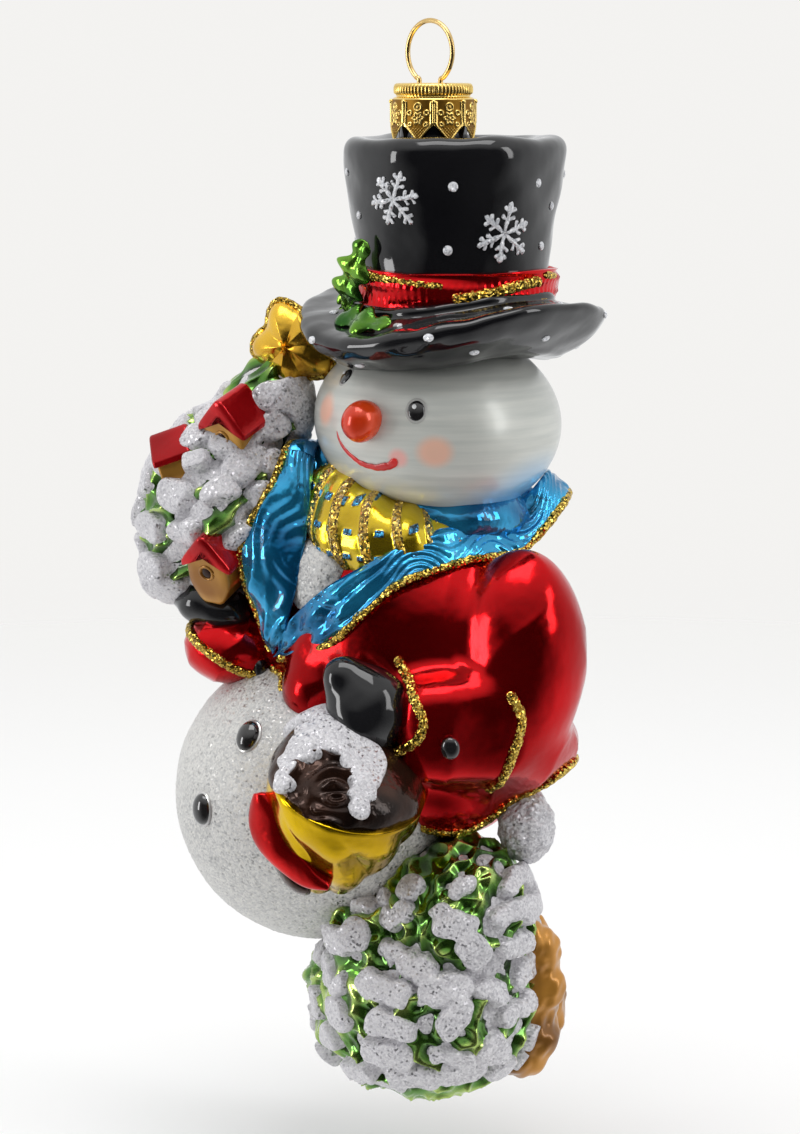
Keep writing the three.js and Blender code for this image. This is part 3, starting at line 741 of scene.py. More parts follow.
knurl = (0.5 + 0.5 * np.cos(64 * t))[None, :] * flutes[:, None]
radius = section[..., 0] + 0.17 * relief + 0.16 * knurl
cap_grid = np.stack([radius * np.cos(t), radius * np.sin(t), section[..., 1]], -1) + CAP_AXIS
# Painted light on the cap: bright on the filigree, the knurl, the shoulder and the top; dark between them.
cap_painted_light = np.maximum(relief, knurl)
cap_painted_light = np.maximum(cap_painted_light, 0.75 * (1 - on_skirt)[:, None] * (1 - flutes)[:, None])
solid("cap_crown", [cap_grid], gilt, "cap", {"relief": [cap_painted_light]})

beads = []
for turn in np.radians(np.arange(PETALS) * 45 - 45):
    foot = np.array([7.0 * np.cos(turn), 7.0 * np.sin(turn), 0]) + CAP_AXIS
    path = foot + np.linspace(-16.6, -12.9, 30)[:, None] * (0, 0, 1)
    beads.append(cord(path, foot - CAP_AXIS, 0.26, 10))
    beads.append(dome(foot + (0, 0, -12.9), foot - CAP_AXIS, (0, 0, 1), (0.42, 0.42, 0.42), 12, 16))
# The ribs and their beads take the bright end of the cap's painted light.
rib_values = [np.ones(grid.shape[:2]) for grid in beads]
solid("cap_ribs", beads, gilt, "cap", {"relief": rib_values})

brass, tree, shader = finish("spring_brass_wire", Metallic=1.0, Roughness=0.2)
surface_of = blown(tree, 900.0, 0.00003)
tree.links.new(mixed(tree, surface_of["Tone"], (0.62, 0.40, 0.13, 1), (0.92, 0.68, 0.32, 1)),
               shader.inputs["Base Color"])
tree.links.new(spread(tree, surface_of["Fine"], 0.3, 0.7, 0.14, 0.30), shader.inputs["Roughness"])
tree.links.new(surface_of["Normal"], shader.inputs["Normal"])

RING_RADIUS, WIRE_RADIUS = 5.2, 0.43
open_half = np.arcsin(2.5 / RING_RADIUS)
loop = -np.pi / 2 - open_half - np.linspace(0, 1, 40) * 2 * (np.pi - open_half)
loop = np.stack([RING_RADIUS * np.cos(loop), 0 * loop,
                 WIRE_RADIUS - RING_RADIUS + RING_RADIUS * np.sin(loop)], -1)
legs = np.array([(3.3, 0, -18.0), (2.95, 0, -14.5), (2.6, 0, -11.2)])
path = curve(np.concatenate([legs * (-1, 1, 1), loop, legs[::-1]]), 300)
solid("ring_wire", [cord(path, (0, 1, 0), WIRE_RADIUS, 20)], brass, "ring")

# ---- belly ----
# The largest bulb, frosted white all over with fine glitter, with two black buttons in pearly rings.

BELLY = [((-15, -11, -131.5), (25.5, 25.5, 25.5), (0, 0, 0))]
BUTTONS = [(-10.7, -32.3, -117.9), (-17.7, -36.6, -130.9)]

frost, tree, shader = finish("frosted_glitter_white", Roughness=0.5, Coat_Weight=0.25, Coat_Roughness=0.3)
flakes = glitter(tree, 3000.0, 0.55)
surface_of = blown(tree, 60.0, 0.0003)
white = mixed(tree, flakes["Flake"], (0.42, 0.42, 0.42, 1), (0.74, 0.73, 0.70, 1))
white = mixed(tree, spread(tree, surface_of["Tone"], 0.4, 0.75, 0.0, 0.35), white, (0.76, 0.75, 0.71, 1))
tree.links.new(white, shader.inputs["Base Color"])
tree.links.new(spread(tree, flakes["Pick"], 0.86, 0.93), shader.inputs["Metallic"])
tree.links.new(flakes["Normal"], shader.inputs["Normal"])

grid, normals = skin(BELLY, (-15, -11, -131.5), (-15, -11, -131.5), 220, 340)
grain = 0.05 * waves(grid, 0.9, 41) * waves(grid, 1.7, 42) + 0.10 * waves(grid, 12, 43)
solid("belly", [raised(grid, normals, grain)], frost)

pearl_ring = enamel_paint("pearl_ring_paint", (0.45, 0.43, 0.44), (0.75, 0.74, 0.72), 0.2, 0.6)
for number, place in enumerate(BUTTONS):
    centre = settle([place], BELLY)[0]
    up = outward(centre[None], BELLY, 1.0)[0]
    solid(f"button_{number + 1}_ring", [dome(centre, up, (0, 0, 1), (3.05, 2.45, 0.5))], pearl_ring)
    solid(f"button_{number + 1}", [dome(centre + up * 0.15, up, (0, 0, 1), (2.7, 2.1, 1.5), 26, 44)], enamel)

# ---- coat ----
# Candy-red lacquer over silver, blown in one with the sleeves and the flared tail, with broad moulded folds.

TORSO = ((-3.5, -2.5, -103), (25, 22, 24), (0, 10, 0))
LEFT_ARM = ((22.5, -0.5, -104), (10, 11, 18), (0, 0, 0))
LEFT_CUFF = ((17.5, -11, -114.5), (8.6, 12.4, 9.6), (0, 8, -25), 3.4)
RIGHT_SHOULDER = ((-20, -10.5, -91), (12.5, 10, 11.5), (0, 0, 0))
RIGHT_ARM = ((-20, -11, -104), (10, 12, 11), (0, 0, 30))
COAT_TAIL = ((12, 2, -121.5), (15.5, 16, 9), (0, -8, 0))
COAT_HEM = ((7.5, -3.5, -124.8), (11, 11, 11.5), (0, 0, 0), 2.6)
COAT_FLAP = ((-5.2, -22.2, -111.0), (5.6, 5.0, 5.6), (0, 0, 0))
COAT = [TORSO, LEFT_ARM, LEFT_CUFF, RIGHT_SHOULDER, RIGHT_ARM, COAT_TAIL, COAT_HEM, COAT_FLAP]

coat_red = lacquer("candy_red_lacquer", (0.36, 0.0006, 0.002), (0.76, 0.006, 0.010), 0.92, 0.17, 75.0, 0.0006)


def folds(points, seed, length):
    """Broad moulded folds: creases where a slow wave crosses zero, between smooth swells."""
    swell = waves(points, length, seed)
    finer = 0.25 * waves(points, length * 0.6, seed + 1)
    return 0.55 * (1 - np.abs(swell)) ** 3 - 0.35 * np.abs(swell) + finer


grid, normals = skin(COAT, (2, -3, -116), (-4, -3, -92), 290, 330, 1.4)
solid("coat", [raised(grid, normals, 0.40 * folds(grid, 51, 21) - 0.05)], coat_red)

# ---- cuffs, mittens and gold trims ----
# The mittens are gloss black. The coat's hem, front and cuffs are edged with poured lines of gold glitter.

RIGHT_CUFF = [((-25.2, -22.2, -105.8), (8.6, 8, 6.6), (0, 0, 40))]
LEFT_MITTEN = [((10.5, -25, -111.7), (6.5, 7, 7.6), (0, 0, -20)),
               ((7.5, -28, -106), (3, 3.4, 3.4), (0, 0, 0))]
RIGHT_MITTEN = [((-28.6, -24, -98.0), (8.5, 6.5, 4.5), (0, 15, 0))]

grid, normals = skin(RIGHT_CUFF, (-25.2, -22.2, -105.8), (-25.2, -22.2, -105.8), 120, 160)
solid("right_cuff", [raised(grid, normals, 0.35 * folds(grid, 57, 11))], coat_red)
grid, normals = skin(LEFT_MITTEN, (10.5, -25, -113), (9.5, -26, -108), 130, 160, 1.0)
solid("left_mitten", [raised(grid, normals, 0.25 * waves(grid, 9, 58))], hat_black)
grid, normals = skin(RIGHT_MITTEN, (-29, -24, -99.5), (-29, -24, -99.5), 90, 120)
solid("right_mitten", [raised(grid, normals, 0.25 * waves(grid, 7, 59))], hat_black)

TRIMS = {
    "cuff_hand_trim": ([(12, -20, -103), (18, -21, -109), (20, -22, -114), (12, -20, -121)], COAT, 0.72),
    "cuff_elbow_trim": ([(28, -10, -108), (29, -8, -114), (21, -8, -124)], COAT, 0.72),
    "coat_hem_trim": ([(5, -18, -133), (12, -13, -136), (18, -3, -133), (25, 6, -125), (20, 15, -124),
                       (-5, 19, -123), (-18, 12, -119)], COAT, 0.66),
    "coat_front_trim": ([(-16, -22, -108), (-11, -24, -110), (-6, -25, -116)], COAT, 0.6),
    "right_cuff_trim": ([(-33, -25, -100), (-31, -28, -102), (-24, -30, -105), (-18, -22, -110)],
                        RIGHT_CUFF, 0.7),
}
for number, (name, (stops, masses, radius)) in enumerate(TRIMS.items()):
    path = settle(curve(stops, 240), masses, 1.4, 0.2)
    gold_line(name, path, outward(path, masses, 1.4), 1.2 * radius, 80 + number)

# ---- shirt and scarf ----
# White glitter shows between the lapels. Above it is a folded yellow scarf with a check of gold and blue
# glitter poured over it.

SHIRT = [((-5.6, -17.2, -92.6), (6.6, 6.8, 8.0), (0, 0, 0), 2.6)]
SCARF = [((-7.2, -12.0, -79.4), (7.0, 7.4, 6.4), (0, 0, 0)),
         ((-2.6, -15.4, -84.0), (7.4, 6.2, 6.6), (0, 0, 0)),
         ((-2.2, -3.6, -83.4), (17.2, 15.2, 7.4), (15, 9, 0)),
         ((3.0, -13.6, -86.6), (9.0, 6.4, 6.6), (20, -14, 0))]

grid, normals = skin(SHIRT, (-5.6, -17.2, -92.6), (-5.6, -17.2, -92.6), 120, 160)
solid("shirt", [raised(grid, normals, 0.05 * waves(grid, 0.9, 90))], frost)

scarf_yellow, tree, shader = finish("scarf_yellow_lacquer", Metallic=0.92, Roughness=0.2, Coat_Weight=0.8)
surface_of = blown(tree, 160.0, 0.0003)
flakes = glitter(tree, 2600.0, 1.4)
gold_part = node(tree, "Attribute", attribute_name="gold").outputs["Fac"]
blue_part = node(tree, "Attribute", attribute_name="blue").outputs["Fac"]
either = node(tree, "Math", {0: gold_part, 1: blue_part}, operation="MAXIMUM").outputs[0]
base = mixed(tree, spread(tree, surface_of["Tone"], 0.3, 0.7), (0.62, 0.40, 0.005, 1), (0.95, 0.74, 0.02, 1))
golden = mixed(tree, flakes["Flake"], (0.40, 0.20, 0.01, 1), (1.0, 0.72, 0.14, 1))
bluish = mixed(tree, flakes["Flake"], (0.005, 0.08, 0.20, 1), (0.10, 0.50, 0.85, 1))
base = mixed(tree, spread(tree, gold_part, 0.35, 0.6), base, golden)
base = mixed(tree, spread(tree, blue_part, 0.35, 0.6), base, bluish)
tree.links.new(base, shader.inputs["Base Color"])
mask = spread(tree, either, 0.35, 0.6)
turning = node(tree, "Mix", {"Factor": mask, 4: surface_of["Normal"], 5: flakes["Normal"]},
               data_type="VECTOR")
tree.links.new(turning.outputs[1], shader.inputs["Normal"])

grid, normals = skin(SCARF, (-2, -5, -84), (-2, -5, -82.5), 230, 420, 1.8)
t = np.degrees(np.arctan2(grid[..., 1] + 3, grid[..., 0] + 1))
drop = grid[..., 2] + 0.14 * grid[..., 0] - 0.22 * grid[..., 1]
pleat = np.sin(np.radians(t * 14 + 20 * np.sin(drop)))
gold_mask = ramp(np.cos(np.radians(t * 20 + 14 * drop)), 0.45, 0.8)
row_wave = np.cos(2 * np.pi * (drop + 0.3 * np.sin(np.radians(3 * t))) / 4.1)
dash = ramp(np.cos(np.radians(t * 40)), -0.4, 0.1)
blue_mask = ramp(row_wave, 0.62, 0.86) * dash * (1 - gold_mask)
relief = 0.28 * pleat + 0.28 * gold_mask + 0.22 * blue_mask + 0.25 * waves(grid, 9, 91)
relief = relief + 0.07 * waves(grid, 0.7, 92) * np.maximum(gold_mask, blue_mask)
solid("scarf", [raised(grid, normals, relief)], scarf_yellow,
      fields={"gold": [gold_mask], "blue": [blue_mask]})

# ---- collar and lapels ----
# One broad collar in blue lacquer stands round the back of the neck and falls into two lapels that meet
# at the middle button, edged with gold glitter.

COLLAR_MIDDLE = (-1, 3)
COLLAR_STATIONS = 900
nape = np.radians(np.linspace(30, 210, 7))[:, None]
# The stops of each lapel, as (outer edge, inner edge).
LAPEL_LEFT = [((-15, -23, -107), (-13, -24, -105)), ((0, -24, -102), (-7, -25, -98)),
              ((6, -23, -97), (1, -25, -92)), ((12, -19, -91), (8, -20, -87)),
              ((16, -8, -88), (12, -11, -83)), ((18, 4, -87), (14, 4, -81))]
LAPEL_RIGHT = [((-15, -18, -70), (-12, -15, -71)), ((-14, -23, -76), (-9, -19, -77)),
               ((-17, -28, -88), (-7, -23, -88)), ((-16, -24, -101), (-9, -25, -100)),
               ((-15, -23, -106), (-13, -24, -105))]


def nape_edge(across, deep, z_left, z_right):
    """The edge round the back of the neck: an arc of an ellipse that rises evenly from left to right."""
    rise = z_left + (z_right - z_left) * np.linspace(0, 1, len(nape))[:, None]
    return np.hstack([COLLAR_MIDDLE[0] + across * np.cos(nape), COLLAR_MIDDLE[1] + deep * np.sin(nape), rise])


COLLAR_OUTER = np.vstack([[o for o, _ in LAPEL_LEFT], nape_edge(22, 22.5, -80, -73),
                          [o for o, _ in LAPEL_RIGHT]])
COLLAR_INNER = np.vstack([[i for _, i in LAPEL_LEFT], nape_edge(18, 18.5, -76, -72),
                          [i for _, i in LAPEL_RIGHT]])

blue = lacquer("collar_blue_lacquer", (0.001, 0.12, 0.30), (0.05, 0.56, 0.98), 0.72, 0.08, 150.0, 0.0010, 0.5)


def stations(stops, count):
    """Points along the spline through the stops, with the same count between every two stops."""
    fine = spline(stops, 40)
    place = np.linspace(0, 1, len(fine))
    return np.stack([np.interp(np.linspace(0, 1, count), place, line) for line in fine.T], -1)


COLLAR_STAND = [((-13.6, -10.6, -75.5), (4.6, 4.6, 6.0), (0, 0, 0)),
                ((1.5, 3.0, -81.5), (15.6, 16.6, 7.6), (0, 4, 0)), ((-9, -4, -83), (10, 11, 8), (0, 0, 0))]
grid, normals = skin(COLLAR_STAND, (0, 2, -82), (0, 2, -82), 110, 200)
solid("collar_stand", [raised(grid, normals, 0.3 * waves(grid, 9, 94))], blue)

outer, inner = stations(COLLAR_OUTER, COLLAR_STATIONS), stations(COLLAR_INNER, COLLAR_STATIONS)
along = unit(np.gradient((outer + inner) / 2, axis=0))
across = outer - inner
up = unit(np.cross(along, across))
up *= np.sign(((outer + inner) / 2 * (1, 1, 0) * up).sum(-1, keepdims=True) + 1e-6)
a = np.linspace(0, 2 * np.pi, 64, endpoint=False)[None, :, None]
share = 0.5 - 0.5 * np.cos(a)
thick = 0.9 * np.sin(a) - 0.5 * np.sin(np.pi * share) ** 2 * (np.sin(a) > 0)
step = np.arange(COLLAR_STATIONS)
taper = ramp(np.minimum(step, step[::-1]), 0, 20)[:, None, None]
middle = (inner + outer)[:, None] / 2
grid = middle + (inner[:, None] + across[:, None] * share - middle) * (0.15 + 0.85 * taper)
grid = grid + up[:, None] * thick * (0.3 + 0.7 * taper)
station = np.linspace(0, 1, COLLAR_STATIONS)[:, None]
fan = 0.30 * np.sin(2 * np.pi * (share[..., 0] * 2.6 + 5 * station))
fan = fan * ramp(0.14 - np.abs(station - 0.07), 0, 0.08)
panel = ramp(station, 0.74, 0.80) * ramp(1 - station, 0.0, 0.05)
fan = fan + 1.5 * panel * (1 - np.abs(share[..., 0] - 0.5) / 0.5) + 0.32 * waves(grid, 6, 95)
fan = fan + 0.14 * np.sin(2 * np.pi * (4 * share[..., 0] + 1.2 * waves(grid, 12, 97)))
grid = grid + up[:, None] * (fan * (np.sin(a[..., 0]) > 0.05) * taper[..., 0])[..., None]
solid("collar", [grid], blue)
gold_line("collar_trim", outer[6:-6] + up[6:-6] * 0.15, up[6:-6], 0.72, 97)

button = np.array([-18.4, -22.6, -108.8])
up = unit(button - (-3.5, -2.5, -106))
solid("coat_button", [dome(button, up, (0, 0, 1), (2.6, 1.9, 1.5), 22, 36)], enamel)
t = np.linspace(0, 1, 60)[:, None]
side = np.cross(up, (0, 0, 1))
fallen = np.array([0, 0, 1]) * (1.2 - 2.6 * t)
swirl = button + up * 1.35 + fallen + side * (1.0 * np.sin(2.2 * np.pi * t)) - up * 0.5 * t
gold_line("coat_button_swirl", swirl, up, 0.34, 98)
grid = dome((23.9, -19.4, -116.7), (0.6, -0.75, -0.1), (0, 0, 1), (1.9, 1.6, 1.0), 18, 28)
solid("cuff_button", [grid], enamel)

# ---- pail of treats ----
# A folded yellow pail, a heap of dark glazed treats, a crust of glitter snow and a red ribbon, with a dark
# brown cord under the ribbon as painted shadow.

PAIL_MOUTH = np.array([10.5, -29.8, -123.4])
PAIL_FOOT = np.array([2.1, -27.6, -140.6])
PAIL_AXIS = unit(PAIL_MOUTH - PAIL_FOOT)
PAIL_PROFILE = [(0, -19.2), (3.8, -19.1), (6.0, -17.8), (8.4, -14.0), (10.8, -8.5), (12.6, -4.0),
                (13.4, -1.0), (13.5, 0.2), (12.7, 0.8), (8, 0.2), (0, 0)]
PAIL_FILL = [((10.2, -29.7, -122.6), (12.8, 12.8, 6.4), (7, 26, 0)),
             ((8.0, -30.0, -117.5), (7.5, 7.5, 5.0), (10, 25, 0))]
# Each run of snow: where it starts and ends, how many clumps, the first and the last size.
PAIL_DRIFTS = [((2, -30, -115), (8, -26, -113), 3, 5.4, 5.4), ((8, -29, -112), (8, -42, -121), 6, 4.2, 2.2),
               ((8, -35, -114), (17, -31, -118), 5, 3.6, 4.0),
               ((17, -31, -118), (20, -36, -125), 4, 3.6, 2.0)]
RIBBON = [(2, -41, -124), (3, -41, -131), (8, -38, -137), (12, -35, -139)]
# The path of the dark cord under the ribbon, which is painted shadow.
RIBBON_SHADOW_PATH = [(0, -38, -132), (3, -36, -139), (7, -35, -141)]

pail_yellow = lacquer("pail_yellow_lacquer", (0.42, 0.24, 0.002), (0.95, 0.62, 0.004), 0.95, 0.17, 110.0,
                      0.0005)
treat_and_shadow_brown = lacquer("dark_glazed_brown_and_shadow", (0.012, 0.006, 0.004), (0.07, 0.030, 0.018), 0.6, 0.16, 260.0,
                      0.0004)
ribbon_red = lacquer("ribbon_red_lacquer", (0.36, 0.001, 0.002), (0.82, 0.010, 0.010), 0.85, 0.15, 130.0,
                     0.0004)


def stood(grid, place, axis):
    """Turns a grid made about Z so that Z runs along the axis, and moves it to its place."""
    turn = Vector((0, 0, 1)).rotation_difference(Vector(axis)).to_matrix()
    return grid @ np.array(turn).T + np.array(place)


grid, normals = lathe(PAIL_PROFILE, 110, 240)
t = np.arctan2(grid[..., 1], grid[..., 0])
crease = np.abs(np.sin(3.5 * t + 0.25 * grid[..., 2])) * ramp(-grid[..., 2], 0, 6)
grid = raised(grid, normals, 0.8 * crease - 0.4 + 0.25 * waves(grid, 8, 101))
solid("pail", [stood(grid, PAIL_MOUTH, PAIL_AXIS)], pail_yellow)

grid, normals = skin(PAIL_FILL, (10.2, -29.6, -124), (9.2, -29.6, -120), 200, 260, 1.2)
heart = 1 - ramp(np.linalg.norm(grid - (14, -38, -121), axis=-1), 4, 10)
lumps = heart * (1.5 * (1 - np.abs(waves(grid, 5.0, 103))) ** 2 - 0.4) + 0.2 * waves(grid, 7, 104)
solid("treats", [raised(grid, normals, lumps)], treat_and_shadow_brown)
treat_grid, treat_normals = grid, normals

snow, tree, shader = finish("glitter_snow", Roughness=0.45)
flakes = glitter(tree, 3000.0, 0.6)
white = mixed(tree, flakes["Flake"], (0.50, 0.49, 0.52, 1), (0.78, 0.77, 0.79, 1))
tree.links.new(white, shader.inputs["Base Color"])
tree.links.new(spread(tree, flakes["Pick"], 0.82, 0.92), shader.inputs["Metallic"])
tree.links.new(flakes["Normal"], shader.inputs["Normal"])


def snow_cover(points, clumps, seed):
    """How deep inside the clumps a point is: the soft maximum of 1 - distance / size, with uneven edges."""
    strayed = points + np.stack([waves(points, 5.0, seed + k) for k in range(3)], -1) * 0.55
    total = 0
    for centre, size in clumps:
        total = total + np.exp(14 * np.clip(1 - np.linalg.norm(strayed - centre, axis=-1) / size, -3, 1))
    return np.log(np.maximum(total, 1e-12)) / 14


def snowed(points, normals, clumps, seed):
    """The base surface sunk 1.1 mm, and raised into thick rounded crusts over the clumps."""
    cover = snow_cover(points, clumps, seed)
    height = -1.1 + 2.2 * np.sqrt(ramp(cover, 0.0, 0.32)) + 0.02 * waves(points, 0.8, seed + 4)
    height = height + 0.15 * waves(points, 4.5, seed + 5)
    return raised(points, normals, height)


clumps = []
for start, end, count, first, last in PAIL_DRIFTS:
    for part in np.linspace(0, 1, count):
        aim = np.array(start) * (1 - part) + np.array(end) * part
        clumps.append((settle(aim[None], PAIL_FILL, 1.2)[0], first + (last - first) * part))
solid("pail_snow", [snowed(treat_grid, treat_normals, clumps, 105)], snow)
path = curve(RIBBON, 120)
s = np.linspace(0, 1, 120)
half = (3.7 - 1.4 * s) * np.clip(np.sin(np.pi * (0.04 + 0.94 * s)), 0, 1) ** 0.5 * (1 + 0.10 * np.sin(9 * s))
along = unit(np.gradient(path, axis=0))
facing = unit(path - (PAIL_MOUTH + PAIL_FOOT) / 2) + (0.45, -0.95, 0)
side = unit(np.cross(along, facing))
lift = np.cross(side, along)
a = np.linspace(0, 2 * np.pi, 48, endpoint=False)[None, :, None]
grid = path[:, None] + side[:, None] * np.cos(a) * half[:, None, None]
bulge = 1.25 * np.sin(a) * (1 + 0.25 * np.sin(14 * s + 1.0))[:, None, None]
solid("ribbon", [grid + lift[:, None] * (bulge - 0.2)], ribbon_red)
# Painted shadow: a flattened dark brown cord in the treats' material along the underside of the ribbon.
path = curve(RIBBON_SHADOW_PATH, 60)
solid("ribbon_shadow", [cord(path, path - (PAIL_MOUTH + PAIL_FOOT) / 2, 2.9, 24, 0.4)], treat_and_shadow_brown)

# ---- pine under the coat ----
# Moulded needles in green lacquer over silver, with drifts of glitter snow in whorls along the boughs. The
# colour follows the needle relief: yellow-green on the ridges, a painted highlight, and near black in the
# hollows, partly the lacquer lying thick and partly painted shade.

PINE = [((7, -7, -164.3), (20, 18, 17.2), (0, 0, 0)), ((13, -6.5, -149), (14, 13, 14), (0, 0, 0)),
        ((-7, -14, -163), (7, 6, 6), (0, 0, 0)), ((-4, -13, -172), (7, 7, 6), (0, 0, 0)),
        ((6, -15, -174.5), (8, 6, 5), (0, 0, 0)), ((3, -20, -152), (6, 5, 6), (0, 0, 0)),
        ((-6, 2, -160), (6, 8, 8), (0, 0, 0))]
PINE_WHORLS = np.arange(-140, -178, -6)
PINE_DRIFTS = 10

needles, tree, shader = finish("green_needle_lacquer", Metallic=0.9, Roughness=0.16, Coat_Weight=0.9)
surface_of = blown(tree, 220.0, 0.0003)
depth = node(tree, "Attribute", attribute_name="relief").outputs["Fac"]
# Painted light: near black where the needle relief is low, painted shade; yellow-green on crests, painted
# highlight.
green = mixed(tree, spread(tree, depth, 0.10, 0.50), (0.006, 0.022, 0.003, 1), (0.09, 0.26, 0.02, 1))
green = mixed(tree, spread(tree, depth, 0.50, 0.95), green, (0.46, 0.62, 0.14, 1))
tree.links.new(green, shader.inputs["Base Color"])
tree.links.new(surface_of["Normal"], shader.inputs["Normal"])


def foliage(points, seed):
    """Needle relief from 0 to 1: sharp crests where two slow waves cross zero, over finer ones."""
    crest = 1 - np.abs(waves(points, 10.5, seed)) * 1.05
    small = 1 - np.abs(waves(points, 5.2, seed + 1)) * 1.05
    return np.clip(0.62 * crest + 0.38 * small, 0, 1) ** 1.25


def whorls(masses, middles, reach, drifts, sizes):
    """Clumps of snow along boughs, three to a drift, settled on the masses.

    Each middle (x, y, z) is one whorl of evenly spread drifts, turned half a step from the whorl above;
    reach is how far out they aim along X and Y, and sizes the least and most of a clump.
    """
    clumps = []
    for whorl, (x, y, z) in enumerate(middles):
        for drift in range(drifts):
            bearing = 360 / drifts * (drift + 0.5 * (whorl % 2)) + draw.uniform(-8, 8)
            sweep, fall, size = draw.uniform(3, 20), draw.uniform(-2.5, 2.5), draw.uniform(*sizes)
            for part in (0, 0.5, 1):
                t = np.radians(bearing + sweep * part)
                aim = np.array([x + reach[0] * np.cos(t), y + reach[1] * np.sin(t), z + fall * part])
                clumps.append((settle(aim[None], masses, 1.2)[0], size))
    return clumps


draw = np.random.default_rng(7)
clumps = whorls(PINE, [(9, -7, z) for z in PINE_WHORLS], (19, 17), PINE_DRIFTS, (2.0, 3.0))
grid, normals = skin(PINE, (7, -7, -165), (12, -7, -145), 300, 330, 1.2)
relief = foliage(grid, 111)
# The relief field also colours the needles, with the painted highlight and shade of the needle lacquer.
solid("pine", [raised(grid, normals, 2.2 * relief - 1.5)], needles, fields={"relief": [relief]})
solid("pine_snow", [snowed(grid, normals, clumps, 113)], snow)

SNOWBALL = [((20.2, 3.0, -134.2), (4.8, 4.8, 6.2), (0, 0, 0))]
grid, normals = skin(SNOWBALL, (20.2, 3, -134.2), (20.2, 3, -134.2), 110, 150)
solid("snowball", [raised(grid, normals, 0.25 * waves(grid, 3, 115) + 0.08 * waves(grid, 1, 116))], snow)

# ---- forest animal ----
# A small seated animal in caramel satin lacquer, moulded in one with the far side of the pine.

ANIMAL = [((21.0, 2.6, -164.5), (4.8, 5.6, 10.2), (0, 0, 0)),
          ((22.6, 3.2, -155.4), (4.0, 4.0, 4.0), (0, 0, 0)),
          ((24.6, 3.9, -161.6), (2.9, 2.9, 3.0), (0, 0, 0)),
          ((23.8, 2.8, -170.8), (3.0, 3.0, 2.8), (0, 0, 0)),
          ((20.3, 1.9, -174.5), (4.0, 4.0, 3.2), (0, 0, 0)),
          ((22.3, 1.6, -151.4), (1.5, 1.4, 1.5), (0, 0, 0)),
          ((20.4, 5.4, -151.4), (1.5, 1.4, 1.5), (0, 0, 0)), ((15.5, 10.5, -168), (5.5, 5.5, 8), (0, 0, 0))]

caramel = enamel_paint("caramel_satin", (0.20, 0.080, 0.012), (0.60, 0.27, 0.040), 0.3, 0.45, 200.0)
grid, normals = skin(ANIMAL, (19.5, 5, -169), (21, 4, -158), 180, 220, 0.9)
solid("animal", [raised(grid, normals, 0.15 * waves(grid, 2.2, 121) + 0.2 * waves(grid, 6, 122))], caramel)

# ---- tree in the right arm ----
# The same moulded needles, with their painted highlight and shade, and snow, with a puffy gold star
# and three birdhouses.

TREE = [((-30, -20, -81), (14.5, 13, 16.5), (0, 22, 0)), ((-24, -15.5, -65.5), (8, 7, 9.5), (0, 22, 0)),
        ((-41, -23, -86), (5, 6, 5), (0, 0, 0)), ((-35, -27, -93), (6, 5, 5), (0, 0, 0)),
        ((-22, -28, -82), (5.5, 5.5, 6), (0, 0, 0)), ((-37, -12, -76), (6, 8, 8), (0, 0, 0))]
TREE_WHORLS = np.arange(-59, -99, -6.5)
TREE_DRIFTS = 9
TREE_LEAN = 0.38
STAR = ((-19.0, -13.4, -54.0), 7.8, 5.9, 4.0, (0, -24, 22))
HOUSES = [((-22.0, -24.8, -66.0), (20, 8, 12), 1.0), ((-31.6, -29.4, -72.4), (20, -4, -56), 0.84),
          ((-21.6, -29.4, -88.2), (24, 6, 16), 1.0)]
HOUSE_WIDTH, HOUSE_DEPTH, HOUSE_WALL, HOUSE_ROOF = 8.0, 7.4, 8.4, 4.8

middles = [(-30 + (z + 81) * TREE_LEAN, -20, z) for z in TREE_WHORLS]
clumps = whorls(TREE, middles, (15, 13), TREE_DRIFTS, (2.2, 3.4))
grid, normals = skin(TREE, (-33, -21, -86), (-25, -16.5, -68), 260, 290, 1.2)
relief = foliage(grid, 131)
solid("held_tree", [raised(grid, normals, 2.2 * relief - 1.5)], needles, fields={"relief": [relief]})
solid("held_tree_snow", [snowed(grid, normals, clumps, 133)], snow)

star_gold = lacquer("star_gold_lacquer", (0.45, 0.20, 0.008), (0.95, 0.58, 0.06), 0.95, 0.22, 150.0, 0.0004)
place, long_reach, short_reach, thickness, tilt = STAR
t = np.linspace(0, 2 * np.pi, 200, endpoint=False)[None, :]
phi = np.linspace(0, np.pi, 90)[:, None]
tooth = np.abs(((t - np.pi / 2) * 5 / (2 * np.pi)) % 1 * 2 - 1)
reach = short_reach + (long_reach - short_reach) * (0.5 - 0.5 * np.cos(np.pi * tooth))
radial = np.sin(phi) * reach
star_grid = np.stack([radial * np.cos(t), -np.cos(phi) * thickness * (0.9 + 0.15 * tooth),
                      radial * np.sin(t)], -1)
star_grid = star_grid @ turned_by(tilt).T + place
solid("star", [star_grid], star_gold)
outline = star_grid[45]
outline = np.concatenate([outline, outline[:2]])
path = outline + unit(outline - np.array(place)) * 0.1
gold_line("star_edge", path, turned_by(tilt) @ (0, 1, 0), 0.75, 135)

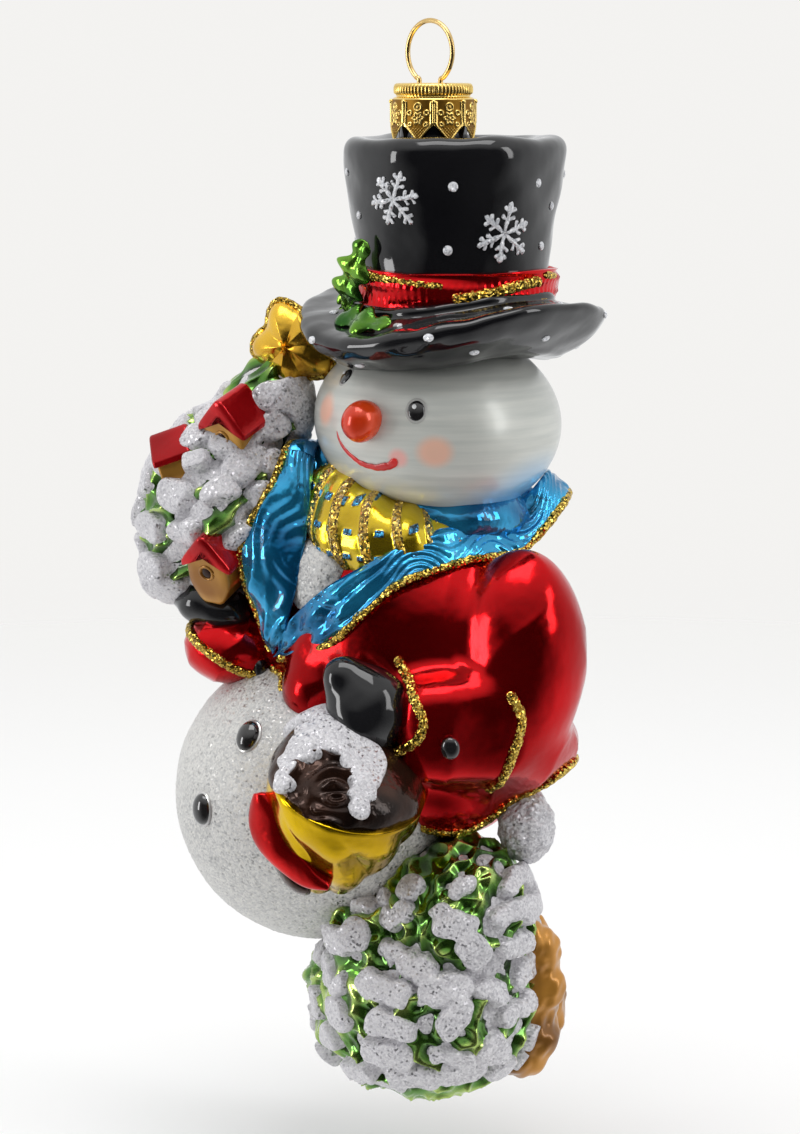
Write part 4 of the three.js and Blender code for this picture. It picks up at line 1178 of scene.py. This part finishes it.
roof_red = lacquer("roof_red_lacquer", (0.30, 0.001, 0.003), (0.62, 0.008, 0.012), 0.6, 0.14, 160.0, 0.0004)
wall_brown = enamel_paint("house_brown_satin", (0.30, 0.12, 0.015), (0.62, 0.31, 0.05), 0.28, 0.5, 220.0)


def prism(outline, depth, place, tilt):
    """An outline of (x, z) with its corners cut round, carried along Y, with softly bevelled ends."""
    line = np.array(outline, float)
    for _ in range(3):
        following = np.roll(line, -1, axis=0)
        line = np.stack([line * 0.86 + following * 0.14, line * 0.14 + following * 0.86], 1).reshape(-1, 2)
    middle = line.mean(0)
    rows = [(0.0, 0.5), (0.6, 0.5), (0.90, 0.49), (0.97, 0.465), (1.0, 0.43)]
    rows = rows + [(1.0, y) for y in np.linspace(0.40, -0.40, 12)] + [(s, -y) for s, y in rows[::-1]]
    grid = np.array([[(*(middle + (p - middle) * s), y * depth) for p in line] for s, y in rows])
    return grid[..., [0, 2, 1]] @ turned_by(tilt).T + place


for number, (place, tilt, share) in enumerate(HOUSES):
    half, wall, roof, deep = share * np.array([HOUSE_WIDTH / 2, HOUSE_WALL, HOUSE_ROOF, HOUSE_DEPTH])
    body = [(-half, -0.55 * wall), (-0.5 * half, -wall), (0.5 * half, -wall), (half, -0.55 * wall),
            (half, 0), (0, roof), (-half, 0)]
    body = prism(body, deep, place, tilt)
    solid(f"birdhouse_{number + 1}", [body], wall_brown)
    span = half + 0.9
    cover = [(-span, -1.6), (-span, -0.2), (0, roof + 1.1), (span, -0.2), (span, -1.6), (0, roof - 0.6)]
    gable = prism(cover, deep + 0.9, place, tilt)
    solid(f"birdhouse_{number + 1}_roof", [gable], roof_red)
    turn = turned_by(tilt)
    hole = turn @ (0, -deep / 2, -2.0) + place
    solid(f"birdhouse_{number + 1}_hole", [dome(hole, turn @ (0, -1, 0), (0, 0, 1), (1.0, 0.85, 0.2))],
          treat_and_shadow_brown)
    t = np.linspace(0, 2 * np.pi, 60)
    circle = np.stack([1.25 * np.cos(t), 0 * t, 1.25 * np.sin(t)], -1) @ turn.T + hole
    solid(f"birdhouse_{number + 1}_hole_rim", [cord(circle, turn @ (0, -1, 0), 0.28, 8)], wall_brown)
